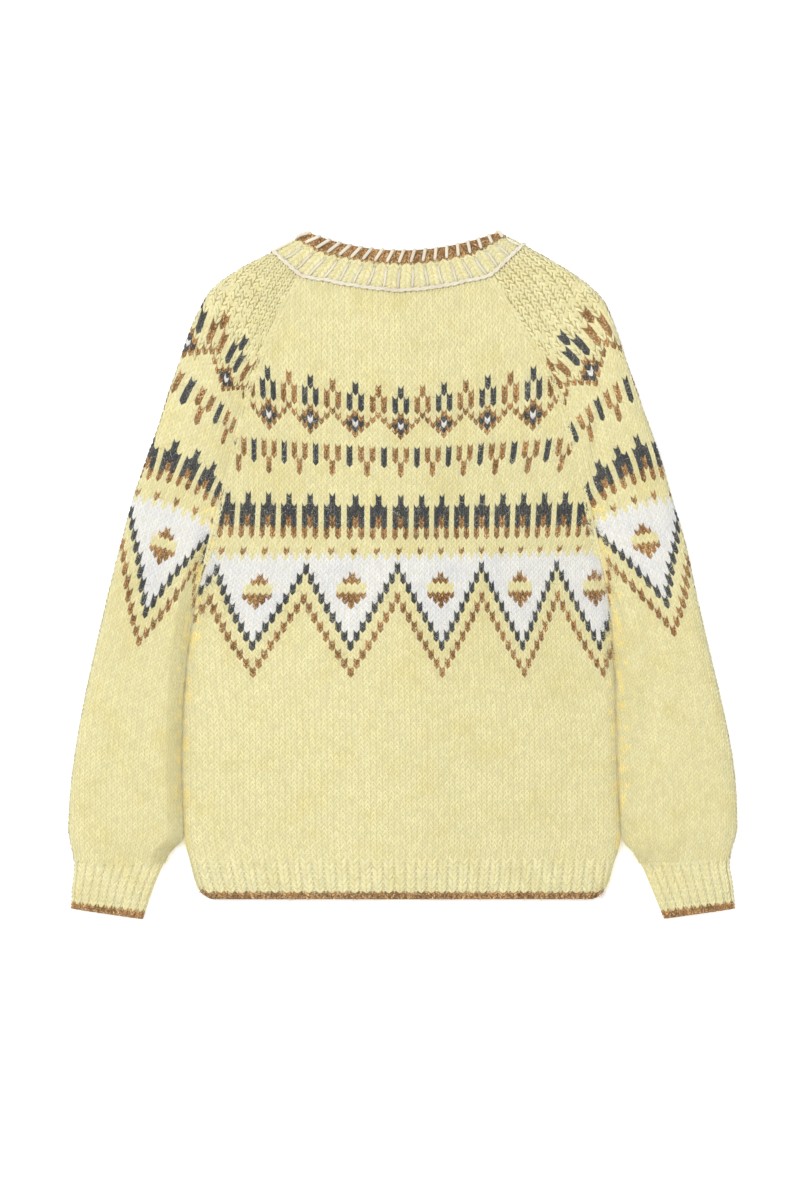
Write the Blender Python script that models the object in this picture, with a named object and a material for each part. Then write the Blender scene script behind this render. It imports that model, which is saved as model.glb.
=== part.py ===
"""A Fair Isle raglan cardigan laid flat, face down, with its back up.

Every piece is a knitted wall with a thickness. Sizes are in millimetres until a mesh is made.
+X is the wearer's right, +Y runs from hem to neck, +Z is up, and the cloth rests on z = 0.
"""
import math
from collections import namedtuple

import bmesh
import bpy
from mathutils import Vector

# Driving dimensions in millimetres
MM = 0.001
WALL = 3.0
LAID_HEIGHT = 9.6
CUFF_HEIGHT = 8.6
SEAM_GAP = 0.3
FOLD_WIDTH = 14.0
RIB_RAISE = 0.5
HEM_RIBS = 38
CUFF_RIBS = 20
NECK_RIBS = 40
BAND_WIDTH = 28.0
BAND_WALL = 2.2
BUTTON_RADIUS = 9.0
BUTTON_HEIGHT = 2.2
BUTTON_COUNT = 5
BUTTON_DISH = 0.6
BUTTON_RIM = 2.0
BUTTON_FACE_EASE = 0.5
BUTTON_BACK_EASE = 0.3
FIRST_BUTTON_ABOVE_HEM = 20.0
LAST_BUTTON_BELOW_NECK = 16.0
BAND_EASE = 0.5

# How the cloth bows between its ends, and how far the fronts ramp up to the bands
BACK_BOW = 1.4
FRONT_BOW = 2.2
RAMP_WIDTH = 30.0
PLACKET_RISE = 1.0
PLACKET_FLAT = 16.0
PLACKET_REACH = 50.0
NECK_DROOP = 0.5

# The most of a sleeve's width that its edge curl and its outer fold may take
EDGE_SHARE = 0.35
FOLD_SHARE = 0.45

# Mesh columns across each stretch of a section
EDGE_COLUMNS = 3
BACK_COLUMNS = 18
FRONT_COLUMNS = 4
RAMP_COLUMNS = 3
SLEEVE_COLUMNS = 9
UNDER_COLUMNS = 4
FOLD_TURNS = 3
SLEEVE_COLUMN_EASE = 1.4
BAND_SECTIONS = 6
BUTTON_SIDES = 20
NECK_RIB_SHARES = (0.08, 0.5, 0.92)

# Sections from the neck down to where sleeve and body part: the seam that body and sleeve share
# on each side, the height of the middle of back and front, the outer fold of each sleeve, and how
# far the edges curl down from flat in the yoke (0) to a full side fold (1)
Section = namedtuple("Section", "seam_left seam_right back_y front_y outer_left outer_right curl")
SECTIONS = [
    Section((-86.3, 255.0), (75.2, 255.0), 242.2, 202.3, (-110.9, 276.2), (103.3, 282.5), 0.0),
    Section((-100.7, 229.5), (88.8, 231.2), 215.9, 190.4, (-138.1, 262.6), (135.6, 264.3), 0.0),
    Section((-110.1, 209.1), (101.6, 210.8), 194.7, 176.8, (-163.5, 244.0), (161.0, 246.5), 0.0),
    Section((-119.4, 188.7), (115.2, 188.7), 170.8, 161.5, (-170.5, 233.0), (173.0, 233.0), 0.0),
    Section((-128.8, 164.0), (129.0, 164.0), 145.3, 144.5, (-181.0, 210.0), (181.5, 212.0), 0.0),
    Section((-135.1, 140.2), (137.3, 140.2), 125.8, 125.8, (-190.0, 183.6), (191.0, 183.6), 0.0),
    Section((-141.0, 115.6), (143.2, 115.6), 108.0, 108.0, (-199.0, 158.1), (199.8, 158.9), 0.0),
    Section((-146.6, 93.5), (149.2, 93.5), 89.2, 89.2, (-207.4, 130.9), (209.4, 130.9), 0.0),
    Section((-152.6, 69.7), (154.8, 69.7), 66.3, 66.3, (-217.5, 102.8), (218.5, 105.4), 0.0),
    Section((-160.2, 38.2), (161.6, 38.2), 35.7, 35.7, (-230.0, 65.5), (231.2, 62.0), 0.0),
    Section((-167.4, 9.3), (168.0, 13.6), 10.2, 10.2, (-239.0, 32.3), (240.6, 30.6), 0.25),
    Section((-173.4, -10.2), (173.2, -10.2), -10.2, -10.2, (-246.1, 5.1), (246.4, 5.1), 0.6),
    Section((-178.9, -39.9), (177.6, -39.9), -39.9, -39.9, (-254.6, -30.6), (253.9, -29.8), 0.9),
    Section((-183.4, -75.6), (180.4, -75.6), -75.6, -75.6, (-263.0, -67.1), (262.6, -67.1), 1.0),
    Section((-186.6, -118.1), (181.8, -118.1), -118.1, -118.1, (-272.0, -108.8), (272.2, -108.0), 1.0),
    Section((-187.4, -160.7), (182.8, -160.7), -160.7, -160.7, (-279.2, -149.6), (280.6, -149.6), 1.0),
    Section((-186.6, -194.7), (184.4, -194.7), -194.7, -194.7, (-283.6, -187.8), (284.6, -186.2), 1.0),
    Section((-185.7, -222.7), (186.0, -222.7), -222.7, -222.7, (-284.8, -215.9), (285.2, -213.3), 1.0),
]
YOKE_SECTIONS = 10
FRONT_NECK_SECTION = 1

# Sections of the body below that, where it draws in to its hem rib
Hem = namedtuple("Hem", "left_x right_x y ribbed")
HEM_SECTIONS = [
    Hem(-182.6, 182.6, -238.0, False),
    Hem(-181.6, 181.6, -240.5, True),
    Hem(-177.2, 176.6, -257.6, True),
    Hem(-171.7, 170.8, -275.0, True),
]

# Sections of each sleeve below that: it blouses over its rib cuff, which leans inwards
Cuff = namedtuple("Cuff", "outer inner ribbed")
CUFF_LEFT = [
    Cuff((-281.6, -235.4), (-196.8, -234.6), False),
    Cuff((-280.2, -243.6), (-201.4, -243.6), False),
    Cuff((-280.0, -247.0), (-203.2, -247.4), True),
    Cuff((-281.6, -264.0), (-211.6, -267.5), True),
    Cuff((-282.6, -283.1), (-219.7, -292.4), True),
]
CUFF_RIGHT = [
    Cuff((281.0, -232.9), (196.8, -236.4), False),
    Cuff((279.4, -241.0), (201.0, -243.9), False),
    Cuff((279.2, -245.0), (202.9, -247.6), True),
    Cuff((281.8, -263.5), (211.6, -268.0), True),
    Cuff((283.5, -283.1), (221.4, -292.0), True),
]

# Neckband: its free top edge at the middle of the back, at the two corners and at the fronts
NECK_TOP_BACK = (-1.3, 277.1)
NECK_TOP_LEFT = (-76.5, 291.6)
NECK_TOP_RIGHT = (79.9, 291.6)
NECK_TOP_FRONT_Y = 237.2

# Soft valleys in the upper layer of the sleeves, from a start to an end point
Valley = namedtuple("Valley", "start end depth half_width")
VALLEYS = [
    Valley((165.0, 140.0), (166.5, 10.0), 2.2, 9.0),
    Valley((-163.0, 60.0), (-168.5, 0.0), 1.4, 10.0),
    Valley((213.0, -50.0), (209.0, -165.0), 1.3, 14.0),
    Valley((-222.0, -90.0), (-214.0, -180.0), 1.0, 14.0),
]

# Looks: colours as linear red, green and blue, and the angle in degrees that still looks smooth
YELLOW_WOOL = (0.78, 0.68, 0.29)
YELLOW_RIB = (0.76, 0.66, 0.30)
BUTTON_BROWN = (0.16, 0.07, 0.03)
WOOL_ROUGHNESS = 0.95
BUTTON_ROUGHNESS = 0.4
SHARP_ANGLE = 50.0


def clear_scene():
    for item in list(bpy.data.objects):
        bpy.data.objects.remove(item, do_unlink=True)


def material(name, colour, roughness):
    made = bpy.data.materials.new(name)
    made.use_nodes = True
    shader = made.node_tree.nodes["Principled BSDF"]
    shader.inputs["Base Color"].default_value = (*colour, 1.0)
    shader.inputs["Roughness"].default_value = roughness
    shader.inputs["Metallic"].default_value = 0.0
    made.diffuse_color = (*colour, 1.0)
    return made


def smooth(share):
    share = min(1.0, max(0.0, share))
    return share * share * (3.0 - 2.0 * share)


def between(first, last, count):
    """count steps from first to last, without first itself."""
    return [first + (last - first) * (i + 1) / count for i in range(count)]


def edge_pair(share, curl, width, height):
    """The outer and the inner point of an edge that curls down, as (distance in, z).

    share runs from 1 at the edge to 0 where the cloth is flat. At a full curl the wall ends
    level with the middle of the height, where the other half of the tube meets it.
    """
    half = height / 2.0
    most = curl * math.pi / 2.0
    turn = share * most
    reach = share if curl == 0.0 else math.sin(turn) / math.sin(most)
    drop = 1.0 - math.cos(turn)
    outer = (width * (1.0 - reach), height - (half - SEAM_GAP / 2.0) * drop)
    inner_width = width - WALL * math.sin(most)
    inner = (width - inner_width * reach, height - WALL - (half - WALL - SEAM_GAP / 2.0) * drop)
    return outer, inner


def fold_pair(turn, width, height):
    """The outer and the inner point of a full fold, at turn from 0 on top to pi underneath."""
    half = height / 2.0
    outer = (width * (1.0 - math.sin(turn)), half + half * math.cos(turn))
    inner = (width - (width - WALL) * math.sin(turn), half + (half - WALL) * math.cos(turn))
    return outer, inner


def valley_depth(x, y):
    depth = 0.0
    for valley in VALLEYS:
        start, end = Vector(valley.start), Vector(valley.end)
        along = (Vector((x, y)) - start).dot(end - start) / (end - start).length_squared
        away = (Vector((x, y)) - start.lerp(end, min(1.0, max(0.0, along)))).length
        if away < valley.half_width:
            taper = math.sqrt(math.sin(math.pi * min(1.0, max(0.0, along))))
            depth += valley.depth * taper * (0.5 + 0.5 * math.cos(math.pi * away / valley.half_width))
    return depth


def placket_rise(x):
    """How far the back rises over the bands under its middle."""
    return PLACKET_RISE * (1.0 - smooth((abs(x) - PLACKET_FLAT) / (PLACKET_REACH - PLACKET_FLAT)))


def front_seam(index, side):
    """The seam of front and sleeve. It starts lower on the raglan line than the back's seam."""
    place = float(index)
    if index < YOKE_SECTIONS:
        place = FRONT_NECK_SECTION + index * (YOKE_SECTIONS - FRONT_NECK_SECTION) / YOKE_SECTIONS
    low = int(place)
    high = min(low + 1, len(SECTIONS) - 1)
    return Vector(getattr(SECTIONS[low], side)).lerp(Vector(getattr(SECTIONS[high], side)), place - low)


def back_row(left, right, middle_y, curl):
    """One section of the back, from its left seam to its right one, as (outer, inner) points."""
    row = []
    for end in (left, right):
        width = abs(end[0]) - SEAM_GAP / 2.0
        half = []
        shares = [1.0] + between(1.0, 0.0, EDGE_COLUMNS)
        pairs = [edge_pair(share, curl, FOLD_WIDTH, LAID_HEIGHT) for share in shares]
        flat = between(FOLD_WIDTH, width, BACK_COLUMNS // 2)
        pairs += [((d, LAID_HEIGHT), (d, LAID_HEIGHT - WALL)) for d in flat]
        for pair in pairs:
            points = []
            for distance, z in pair:
                x = math.copysign(width - distance, end[0])
                y = middle_y + (end[1] - middle_y) * max(0.0, 1.0 - distance / width) ** BACK_BOW
                points.append(Vector((x, y, z + placket_rise(x))))
            half.append(tuple(points))
        row = half if not row else row + half[-2::-1]
    return row


def front_row(end, middle_y, curl, band_z):
    """One section of a front, from its side to its band, as (outer, inner) points."""
    row = []
    width = abs(end[0]) - SEAM_GAP / 2.0
    band_edge = width - BAND_WIDTH / 2.0 - SEAM_GAP
    shares = [1.0] + between(1.0, 0.0, EDGE_COLUMNS)
    pairs = [edge_pair(share, curl, FOLD_WIDTH, LAID_HEIGHT) for share in shares]
    ramp_start = band_edge - RAMP_WIDTH
    flat = between(FOLD_WIDTH, ramp_start, FRONT_COLUMNS) + between(ramp_start, band_edge, RAMP_COLUMNS)
    pairs += [((d, LAID_HEIGHT), (d, LAID_HEIGHT - WALL)) for d in flat]
    for pair in pairs:
        points = []
        for distance, z in pair:
            x = math.copysign(width - distance, end[0])
            y = middle_y + (end[1] - middle_y) * max(0.0, 1.0 - distance / width) ** FRONT_BOW
            climb = smooth((distance - ramp_start) / RAMP_WIDTH)
            low = LAID_HEIGHT - z
            thinner = 1.0 + (BAND_WALL / WALL - 1.0) * climb
            points.append(Vector((x, y, band_z * climb + low * (thinner if climb > 0.0 else 1.0))))
        row.append(tuple(points))
    return row


def sleeve_row(top_seam, under_seam, outer, curl, height):
    """One section of a sleeve, from its top seam round the outer fold to its underside's seam."""
    row = []
    outer = Vector(outer)
    edge_shares = [1.0] + between(1.0, 0.0, EDGE_COLUMNS)

    def place(seam, distance, z, from_outer):
        inner_end = Vector(seam)
        way = (outer - inner_end).normalized()
        inner_end = inner_end + way * SEAM_GAP / 2.0
        spot = outer - way * distance if from_outer else inner_end + way * distance
        return Vector((spot.x, spot.y, z))

    for seam, under in ((top_seam, False), (under_seam, True)):
        length = (outer - Vector(seam)).length - SEAM_GAP / 2.0
        edge_width = min(FOLD_WIDTH, EDGE_SHARE * length)
        fold_width = min(FOLD_WIDTH, FOLD_SHARE * length)
        half = []
        for share in edge_shares:
            pair = edge_pair(share, curl, edge_width, height)
            half.append([place(seam, d, z, False) for d, z in pair])
        count = UNDER_COLUMNS if under else SLEEVE_COLUMNS
        flat_end = length - fold_width
        for step in between(0.0, 1.0, count):
            d = edge_width + (flat_end - edge_width) * (step if under else step ** SLEEVE_COLUMN_EASE)
            half.append([place(seam, d, z, False) for z in (height, height - WALL)])
        turns = between(0.0, math.pi / 2.0, FOLD_TURNS)
        for turn in turns:
            pair = fold_pair(turn, fold_width, height)
            half.append([place(seam, d, z, True) for d, z in pair])
        if under:
            half = [[Vector((p.x, p.y, height - p.z)) for p in pair] for pair in half]
            row += [tuple(pair) for pair in half[-2::-1]]
        else:
            for pair in half:
                dip = valley_depth(pair[0].x, pair[0].y)
                row.append(tuple(Vector((p.x, p.y, p.z - dip)) for p in pair))
    return row


def ribbed(row, ribs):
    """A section again with two columns to a rib, its outer points raised and sunk in turn.

    The underside rests flat, so the ribs fade where the cloth faces down.
    """
    lengths = [0.0]
    for first, second in zip(row, row[1:]):
        lengths.append(lengths[-1] + (second[0] - first[0]).length)
    count = 2 * ribs
    points = []
    cell = 0
    for i in range(count + 1):
        target = lengths[-1] * i / count
        while cell < len(row) - 2 and lengths[cell + 1] < target:
            cell += 1
        share = (target - lengths[cell]) / (lengths[cell + 1] - lengths[cell])
        share = min(1.0, max(0.0, share))
        outer = row[cell][0].lerp(row[cell + 1][0], share)
        inner = row[cell][1].lerp(row[cell + 1][1], share)
        out = (outer - inner).normalized()
        side = 1.0 if i % 2 else -1.0
        points.append(outer + out * side * RIB_RAISE * max(0.0, out.z))
    return points


def shares_of(points):
    lengths = [0.0]
    for first, second in zip(points, points[1:]):
        lengths.append(lengths[-1] + (second - first).length)
    return [length / lengths[-1] for length in lengths]


def zip_rows(mesh, first, second):
    """Faces between two rows of vertices, which may differ in number."""
    if len(first) == len(second):
        for i in range(len(first) - 1):
            mesh.faces.new((first[i], first[i + 1], second[i + 1], second[i]))
        return
    a_shares = shares_of([v.co for v in first])
    b_shares = shares_of([v.co for v in second])
    a, b = 0, 0
    while a < len(first) - 1 or b < len(second) - 1:
        take_first = b == len(second) - 1
        if a < len(first) - 1 and b < len(second) - 1:
            take_first = a_shares[a + 1] <= b_shares[b + 1]
        if take_first:
            mesh.faces.new((first[a], first[a + 1], second[b]))
            a += 1
        else:
            mesh.faces.new((first[a], second[b + 1], second[b]))
            b += 1


def wall(name, outer_rows, inner_rows, finish):
    """A closed wall between rows of outer points and as many rows of inner points."""
    mesh = bmesh.new()
    outer = [[mesh.verts.new(p * MM) for p in row] for row in outer_rows]
    inner = [[mesh.verts.new(p * MM) for p in row] for row in inner_rows]
    for i in range(len(outer) - 1):
        zip_rows(mesh, outer[i], outer[i + 1])
        zip_rows(mesh, inner[i + 1], inner[i])
    zip_rows(mesh, inner[0], outer[0])
    zip_rows(mesh, outer[-1], inner[-1])
    zip_rows(mesh, [row[0] for row in outer], [row[0] for row in inner])
    zip_rows(mesh, [row[-1] for row in inner], [row[-1] for row in outer])
    return solid(name, mesh, finish)


def solid(name, mesh, finish):
    bmesh.ops.triangulate(mesh, faces=mesh.faces[:])
    bmesh.ops.recalc_face_normals(mesh, faces=mesh.faces[:])
    if mesh.calc_volume(signed=True) < 0.0:
        bmesh.ops.reverse_faces(mesh, faces=mesh.faces[:])
    data = bpy.data.meshes.new(name)
    mesh.to_mesh(data)
    mesh.free()
    data.shade_smooth()
    data.set_sharp_from_angle(angle=math.radians(SHARP_ANGLE))
    data.materials.append(finish)
    item = bpy.data.objects.new(name, data)
    bpy.context.scene.collection.objects.link(item)
    return item


def outer_of(row):
    return [pair[0] for pair in row]


def inner_of(row):
    return [pair[1] for pair in row]


def make_back(finish):
    rows = [back_row(s.seam_left, s.seam_right, s.back_y, s.curl) for s in SECTIONS]
    outer = [outer_of(row) for row in rows]
    inner = [inner_of(row) for row in rows]
    for hem in HEM_SECTIONS:
        row = back_row((hem.left_x, hem.y), (hem.right_x, hem.y), hem.y, 1.0)
        outer.append(ribbed(row, HEM_RIBS) if hem.ribbed else outer_of(row))
        inner.append(inner_of(row))
    wall("back", outer, inner, finish)
    return rows[0]


def make_front(name, side, hem_side, band_z, finish):
    rows = []
    for index, section in enumerate(SECTIONS):
        rows.append(front_row(front_seam(index, side), section.front_y, section.curl, band_z))
    for hem in HEM_SECTIONS:
        rows.append(front_row(Vector((getattr(hem, hem_side), hem.y)), hem.y, 1.0, band_z))
    wall(name, [outer_of(row) for row in rows], [inner_of(row) for row in rows], finish)
    return rows[0]


def make_sleeve(name, side, outer_side, cuff, finish):
    rows = []
    for index, section in enumerate(SECTIONS):
        top_seam = getattr(section, side)
        under_seam = front_seam(index, side)
        outer = getattr(section, outer_side)
        rows.append(sleeve_row(top_seam, under_seam, outer, section.curl, LAID_HEIGHT))
    outer_rows = [outer_of(row) for row in rows]
    inner_rows = [inner_of(row) for row in rows]
    for section in cuff:
        row = sleeve_row(section.inner, section.inner, section.outer, 1.0, CUFF_HEIGHT)
        outer_rows.append(ribbed(row, CUFF_RIBS) if section.ribbed else outer_of(row))
        inner_rows.append(inner_of(row))
    wall(name, outer_rows, inner_rows, finish)
    return rows[0]


def neck_top(place, marks):
    """The free edge of the neckband in plan, at a share of the way round the neck seam.

    marks are the shares at the left fold, the middle of the back and the right fold.
    """
    left_fold, middle, right_fold = marks
    if left_fold <= place <= right_fold:
        corner = NECK_TOP_LEFT if place < middle else NECK_TOP_RIGHT
        reach = (place - middle) / ((left_fold if place < middle else right_fold) - middle)
        x = NECK_TOP_BACK[0] + (corner[0] - NECK_TOP_BACK[0]) * reach
        y = NECK_TOP_BACK[1] + (corner[1] - NECK_TOP_BACK[1]) * reach ** 2
        return Vector((x, y))
    left = place < left_fold
    corner = NECK_TOP_LEFT if left else NECK_TOP_RIGHT
    reach = place / left_fold if left else (1.0 - place) / (1.0 - right_fold)
    start_x = math.copysign(BAND_WIDTH / 2.0 + SEAM_GAP, corner[0])
    turn = reach * math.pi / 2.0
    x = start_x + (corner[0] - start_x) * math.sin(turn)
    y = NECK_TOP_FRONT_Y + (corner[1] - NECK_TOP_FRONT_Y) * (1.0 - math.cos(turn))
    return Vector((x, y))


def make_neckband(rim, fold_places, finish):
    """The rib strip round the neck, from the rim that the panels' own points make."""
    middles = [(pair[0] + pair[1]) / 2.0 for pair in rim]
    places = shares_of(middles)
    marks = (places[fold_places[0]], places[fold_places[1]], places[fold_places[2]])
    half = LAID_HEIGHT / 2.0
    seam_row, top_row = [], []
    for pair, middle, place in zip(rim, middles, places):
        top = neck_top(place, marks)
        out = (pair[0] - pair[1]).normalized()
        step = (top - middle.to_2d()).normalized() * SEAM_GAP
        seam_row.append(tuple(p + step.to_3d() for p in pair))
        z = middle.z if middle.z < half else half + (middle.z - half) * NECK_DROOP
        centre = Vector((top.x, top.y, z))
        top_row.append((centre + out * WALL / 2.0, centre - out * WALL / 2.0))

    def row_at(share):
        return [(s[0].lerp(t[0], share), s[1].lerp(t[1], share)) for s, t in zip(seam_row, top_row)]

    outer = [outer_of(seam_row)]
    inner = [inner_of(seam_row)]
    for share in NECK_RIB_SHARES:
        outer.append(ribbed(row_at(share), NECK_RIBS))
        inner.append(inner_of(row_at(share)))
    outer.append(outer_of(top_row))
    inner.append(inner_of(top_row))
    wall("neckband", outer, inner, finish)


def make_band(name, z, finish):
    """A front band: a flat strip with eased long edges, from hem to neck."""
    rows = []
    half = BAND_WIDTH / 2.0
    low, high = HEM_SECTIONS[-1].y, NECK_TOP_FRONT_Y
    profile = ((-half, BAND_EASE), (-half + BAND_EASE, 0.0), (half - BAND_EASE, 0.0), (half, BAND_EASE))
    for y in [low] + between(low, high, BAND_SECTIONS):
        outer = [Vector((x, y, z + rise)) for x, rise in profile]
        inner = [Vector((x, y, z + BAND_WALL - rise)) for x, rise in profile]
        rows.append((outer, inner))
    wall(name, [row[0] for row in rows], [row[1] for row in rows], finish)


def make_button(name, y, finish):
    """A flat round button with a raised rim round a dished face, which looks down."""
    mesh = bmesh.new()
    profile = [
        (BUTTON_RADIUS - BUTTON_RIM, BUTTON_DISH),
        (BUTTON_RADIUS - BUTTON_RIM + BUTTON_DISH, 0.0),
        (BUTTON_RADIUS - BUTTON_FACE_EASE, 0.0),
        (BUTTON_RADIUS, BUTTON_FACE_EASE),
        (BUTTON_RADIUS, BUTTON_HEIGHT - BUTTON_BACK_EASE),
        (BUTTON_RADIUS - BUTTON_BACK_EASE, BUTTON_HEIGHT),
    ]
    rings = []
    for radius, z in profile:
        ring = []
        for i in range(BUTTON_SIDES):
            turn = 2.0 * math.pi * i / BUTTON_SIDES
            ring.append(mesh.verts.new(Vector((radius * math.cos(turn), radius * math.sin(turn), z)) * MM))
        rings.append(ring)
    for low, high in zip(rings, rings[1:]):
        for i in range(BUTTON_SIDES):
            after = (i + 1) % BUTTON_SIDES
            mesh.faces.new((low[i], low[after], high[after], high[i]))
    mesh.faces.new(rings[0][::-1])
    mesh.faces.new(rings[-1])
    item = solid(name, mesh, finish)
    item.location = (0.0, y * MM, 0.0)


def main():
    clear_scene()
    wool = {name: material(f"{name}_wool", colour, WOOL_ROUGHNESS) for name, colour in (
        ("back", YELLOW_WOOL), ("front_left", YELLOW_WOOL), ("front_right", YELLOW_WOOL),
        ("sleeve_left", YELLOW_WOOL), ("sleeve_right", YELLOW_WOOL), ("neckband", YELLOW_RIB),
        ("button_band", YELLOW_RIB), ("buttonhole_band", YELLOW_RIB))}
    hole_band_z = BUTTON_HEIGHT + SEAM_GAP
    button_band_z = hole_band_z + BAND_WALL + SEAM_GAP
    back = make_back(wool["back"])
    left = make_sleeve("sleeve_left", "seam_left", "outer_left", CUFF_LEFT, wool["sleeve_left"])
    right = make_sleeve("sleeve_right", "seam_right", "outer_right", CUFF_RIGHT, wool["sleeve_right"])
    front_left = make_front("front_left", "seam_left", "left_x", button_band_z, wool["front_left"])
    front_right = make_front("front_right", "seam_right", "right_x", hole_band_z, wool["front_right"])
    rim = front_left[::-1] + left[::-1] + back + right + front_right
    fold_in_sleeve = EDGE_COLUMNS + SLEEVE_COLUMNS + FOLD_TURNS
    left_fold = len(front_left) + len(left) - 1 - fold_in_sleeve
    middle = len(front_left) + len(left) + len(back) // 2
    right_fold = len(front_left) + len(left) + len(back) + fold_in_sleeve
    make_neckband(rim, (left_fold, middle, right_fold), wool["neckband"])
    make_band("buttonhole_band", hole_band_z, wool["buttonhole_band"])
    make_band("button_band", button_band_z, wool["button_band"])
    lowest = HEM_SECTIONS[-1].y + FIRST_BUTTON_ABOVE_HEM
    highest = NECK_TOP_FRONT_Y - LAST_BUTTON_BELOW_NECK
    for i in range(BUTTON_COUNT):
        y = lowest + (highest - lowest) * i / (BUTTON_COUNT - 1)
        name = f"button_{i + 1}"
        make_button(name, y, material(f"{name}_horn", BUTTON_BROWN, BUTTON_ROUGHNESS))


main()
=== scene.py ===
import math
from collections import namedtuple

import bpy
import numpy as np
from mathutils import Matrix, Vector


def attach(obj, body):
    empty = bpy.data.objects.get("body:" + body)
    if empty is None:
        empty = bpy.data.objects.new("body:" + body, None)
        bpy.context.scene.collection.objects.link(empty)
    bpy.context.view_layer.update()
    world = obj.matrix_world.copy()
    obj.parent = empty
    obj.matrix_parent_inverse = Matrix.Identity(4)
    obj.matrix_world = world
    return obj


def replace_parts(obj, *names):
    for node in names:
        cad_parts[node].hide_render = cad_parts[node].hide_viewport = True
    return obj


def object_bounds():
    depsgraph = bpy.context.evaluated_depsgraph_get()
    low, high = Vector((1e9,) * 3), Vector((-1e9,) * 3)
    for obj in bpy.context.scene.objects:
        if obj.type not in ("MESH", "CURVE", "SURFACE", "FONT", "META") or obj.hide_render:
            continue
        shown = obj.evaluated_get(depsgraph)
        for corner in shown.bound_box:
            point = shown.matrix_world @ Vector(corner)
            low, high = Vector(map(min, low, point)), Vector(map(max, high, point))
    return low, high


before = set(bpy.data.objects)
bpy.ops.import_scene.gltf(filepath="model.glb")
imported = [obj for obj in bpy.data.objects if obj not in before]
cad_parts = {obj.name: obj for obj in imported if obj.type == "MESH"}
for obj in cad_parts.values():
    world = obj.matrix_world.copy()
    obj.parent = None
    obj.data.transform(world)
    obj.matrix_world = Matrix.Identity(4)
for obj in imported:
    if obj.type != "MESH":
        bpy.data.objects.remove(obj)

CAD_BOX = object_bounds()

# Lengths are in millimetres, as in the CAD, until a mesh is made
MM = 0.001
SIDES = ("left", "right")
TOWARDS_NECK = np.array([0.0, 1.0, 0.0])
WALL = 3.0
LAID_HEIGHT = 9.6
CUFF_HEIGHT = 8.6
SEAM_GAP = 0.3
FOLD_WIDTH = 14.0
BACK_BOW = 1.4
FRONT_BOW = 2.2
BAND_WIDTH = 28.0
BAND_WALL = 2.2
BUTTON_HEIGHT = 2.2
HOLE_BAND_Z = BUTTON_HEIGHT + SEAM_GAP
BUTTON_BAND_Z = HOLE_BAND_Z + BAND_WALL + SEAM_GAP
RAMP_WIDTH = 30.0
PLACKET_RISE = 1.0
PLACKET_FLAT = 16.0
PLACKET_REACH = 50.0
NECK_DROOP = 0.5
FLOOR_CLEARANCE = 0.05
# Below 1, the rolled edges of the panels are fuller than a quarter of an ellipse
EDGE_FULLNESS = 0.7
LEAST_CURL = 1e-4
# The most that fold and edge may take of a narrow sleeve's width
FOLD_SHARE = 0.45
EDGE_SHARE = 0.35

# How many points make up a line, and over how many of them the width of a wale is taken
PLAN_POINTS = 160
EDGE_POINTS = 14
BODY_POINTS = 50
SLEEVE_POINTS = 60
BAND_POINTS = 9
SEAM_POINTS = 5
SPACING_POINTS = 8
SHEET_POINTS = 120
# How many points of a cloth's grid lie on each wale
FINE = 4
# How far inside its grid a place is held, in rows and in points, and the least length of a normal
ROW_EASE = 1e-6
POINT_EASE = 1e-3
LEAST_NORMAL = 1e-9

# The sections of the CAD, from the neck down to where sleeve and body part: seams that body and
# sleeve share, outer folds of the sleeves, and how far the edges curl down
Section = namedtuple("Section", "seam_left seam_right front_y outer_left outer_right curl")
SECTIONS = [Section(*values) for values in [
    ((-86.3, 255.0), (75.2, 255.0), 202.3, (-110.9, 276.2), (103.3, 282.5), 0.0),
    ((-100.7, 229.5), (88.8, 231.2), 190.4, (-138.1, 262.6), (135.6, 264.3), 0.0),
    ((-110.1, 209.1), (101.6, 210.8), 176.8, (-163.5, 244.0), (161.0, 246.5), 0.0),
    ((-119.4, 188.7), (115.2, 188.7), 161.5, (-170.5, 233.0), (173.0, 233.0), 0.0),
    ((-128.8, 164.0), (129.0, 164.0), 144.5, (-181.0, 210.0), (181.5, 212.0), 0.0),
    ((-135.1, 140.2), (137.3, 140.2), 125.8, (-190.0, 183.6), (191.0, 183.6), 0.0),
    ((-141.0, 115.6), (143.2, 115.6), 108.0, (-199.0, 158.1), (199.8, 158.9), 0.0),
    ((-146.6, 93.5), (149.2, 93.5), 89.2, (-207.4, 130.9), (209.4, 130.9), 0.0),
    ((-152.6, 69.7), (154.8, 69.7), 66.3, (-217.5, 102.8), (218.5, 105.4), 0.0),
    ((-160.2, 38.2), (161.6, 38.2), 35.7, (-230.0, 65.5), (231.2, 62.0), 0.0),
    ((-167.4, 9.3), (168.0, 13.6), 10.2, (-239.0, 32.3), (240.6, 30.6), 0.25),
    ((-173.4, -10.2), (173.2, -10.2), -10.2, (-246.1, 5.1), (246.4, 5.1), 0.6),
    ((-178.9, -39.9), (177.6, -39.9), -39.9, (-254.6, -30.6), (253.9, -29.8), 0.9),
    ((-183.4, -75.6), (180.4, -75.6), -75.6, (-263.0, -67.1), (262.6, -67.1), 1.0),
    ((-186.6, -118.1), (181.8, -118.1), -118.1, (-272.0, -108.8), (272.2, -108.0), 1.0),
    ((-187.4, -160.7), (182.8, -160.7), -160.7, (-279.2, -149.6), (280.6, -149.6), 1.0),
    ((-186.6, -194.7), (184.4, -194.7), -194.7, (-283.6, -187.8), (284.6, -186.2), 1.0),
    ((-185.7, -222.7), (186.0, -222.7), -222.7, (-284.8, -215.9), (285.2, -213.3), 1.0),
]]
YOKE_SECTIONS = 10
FRONT_NECK_SECTION = 1
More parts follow.
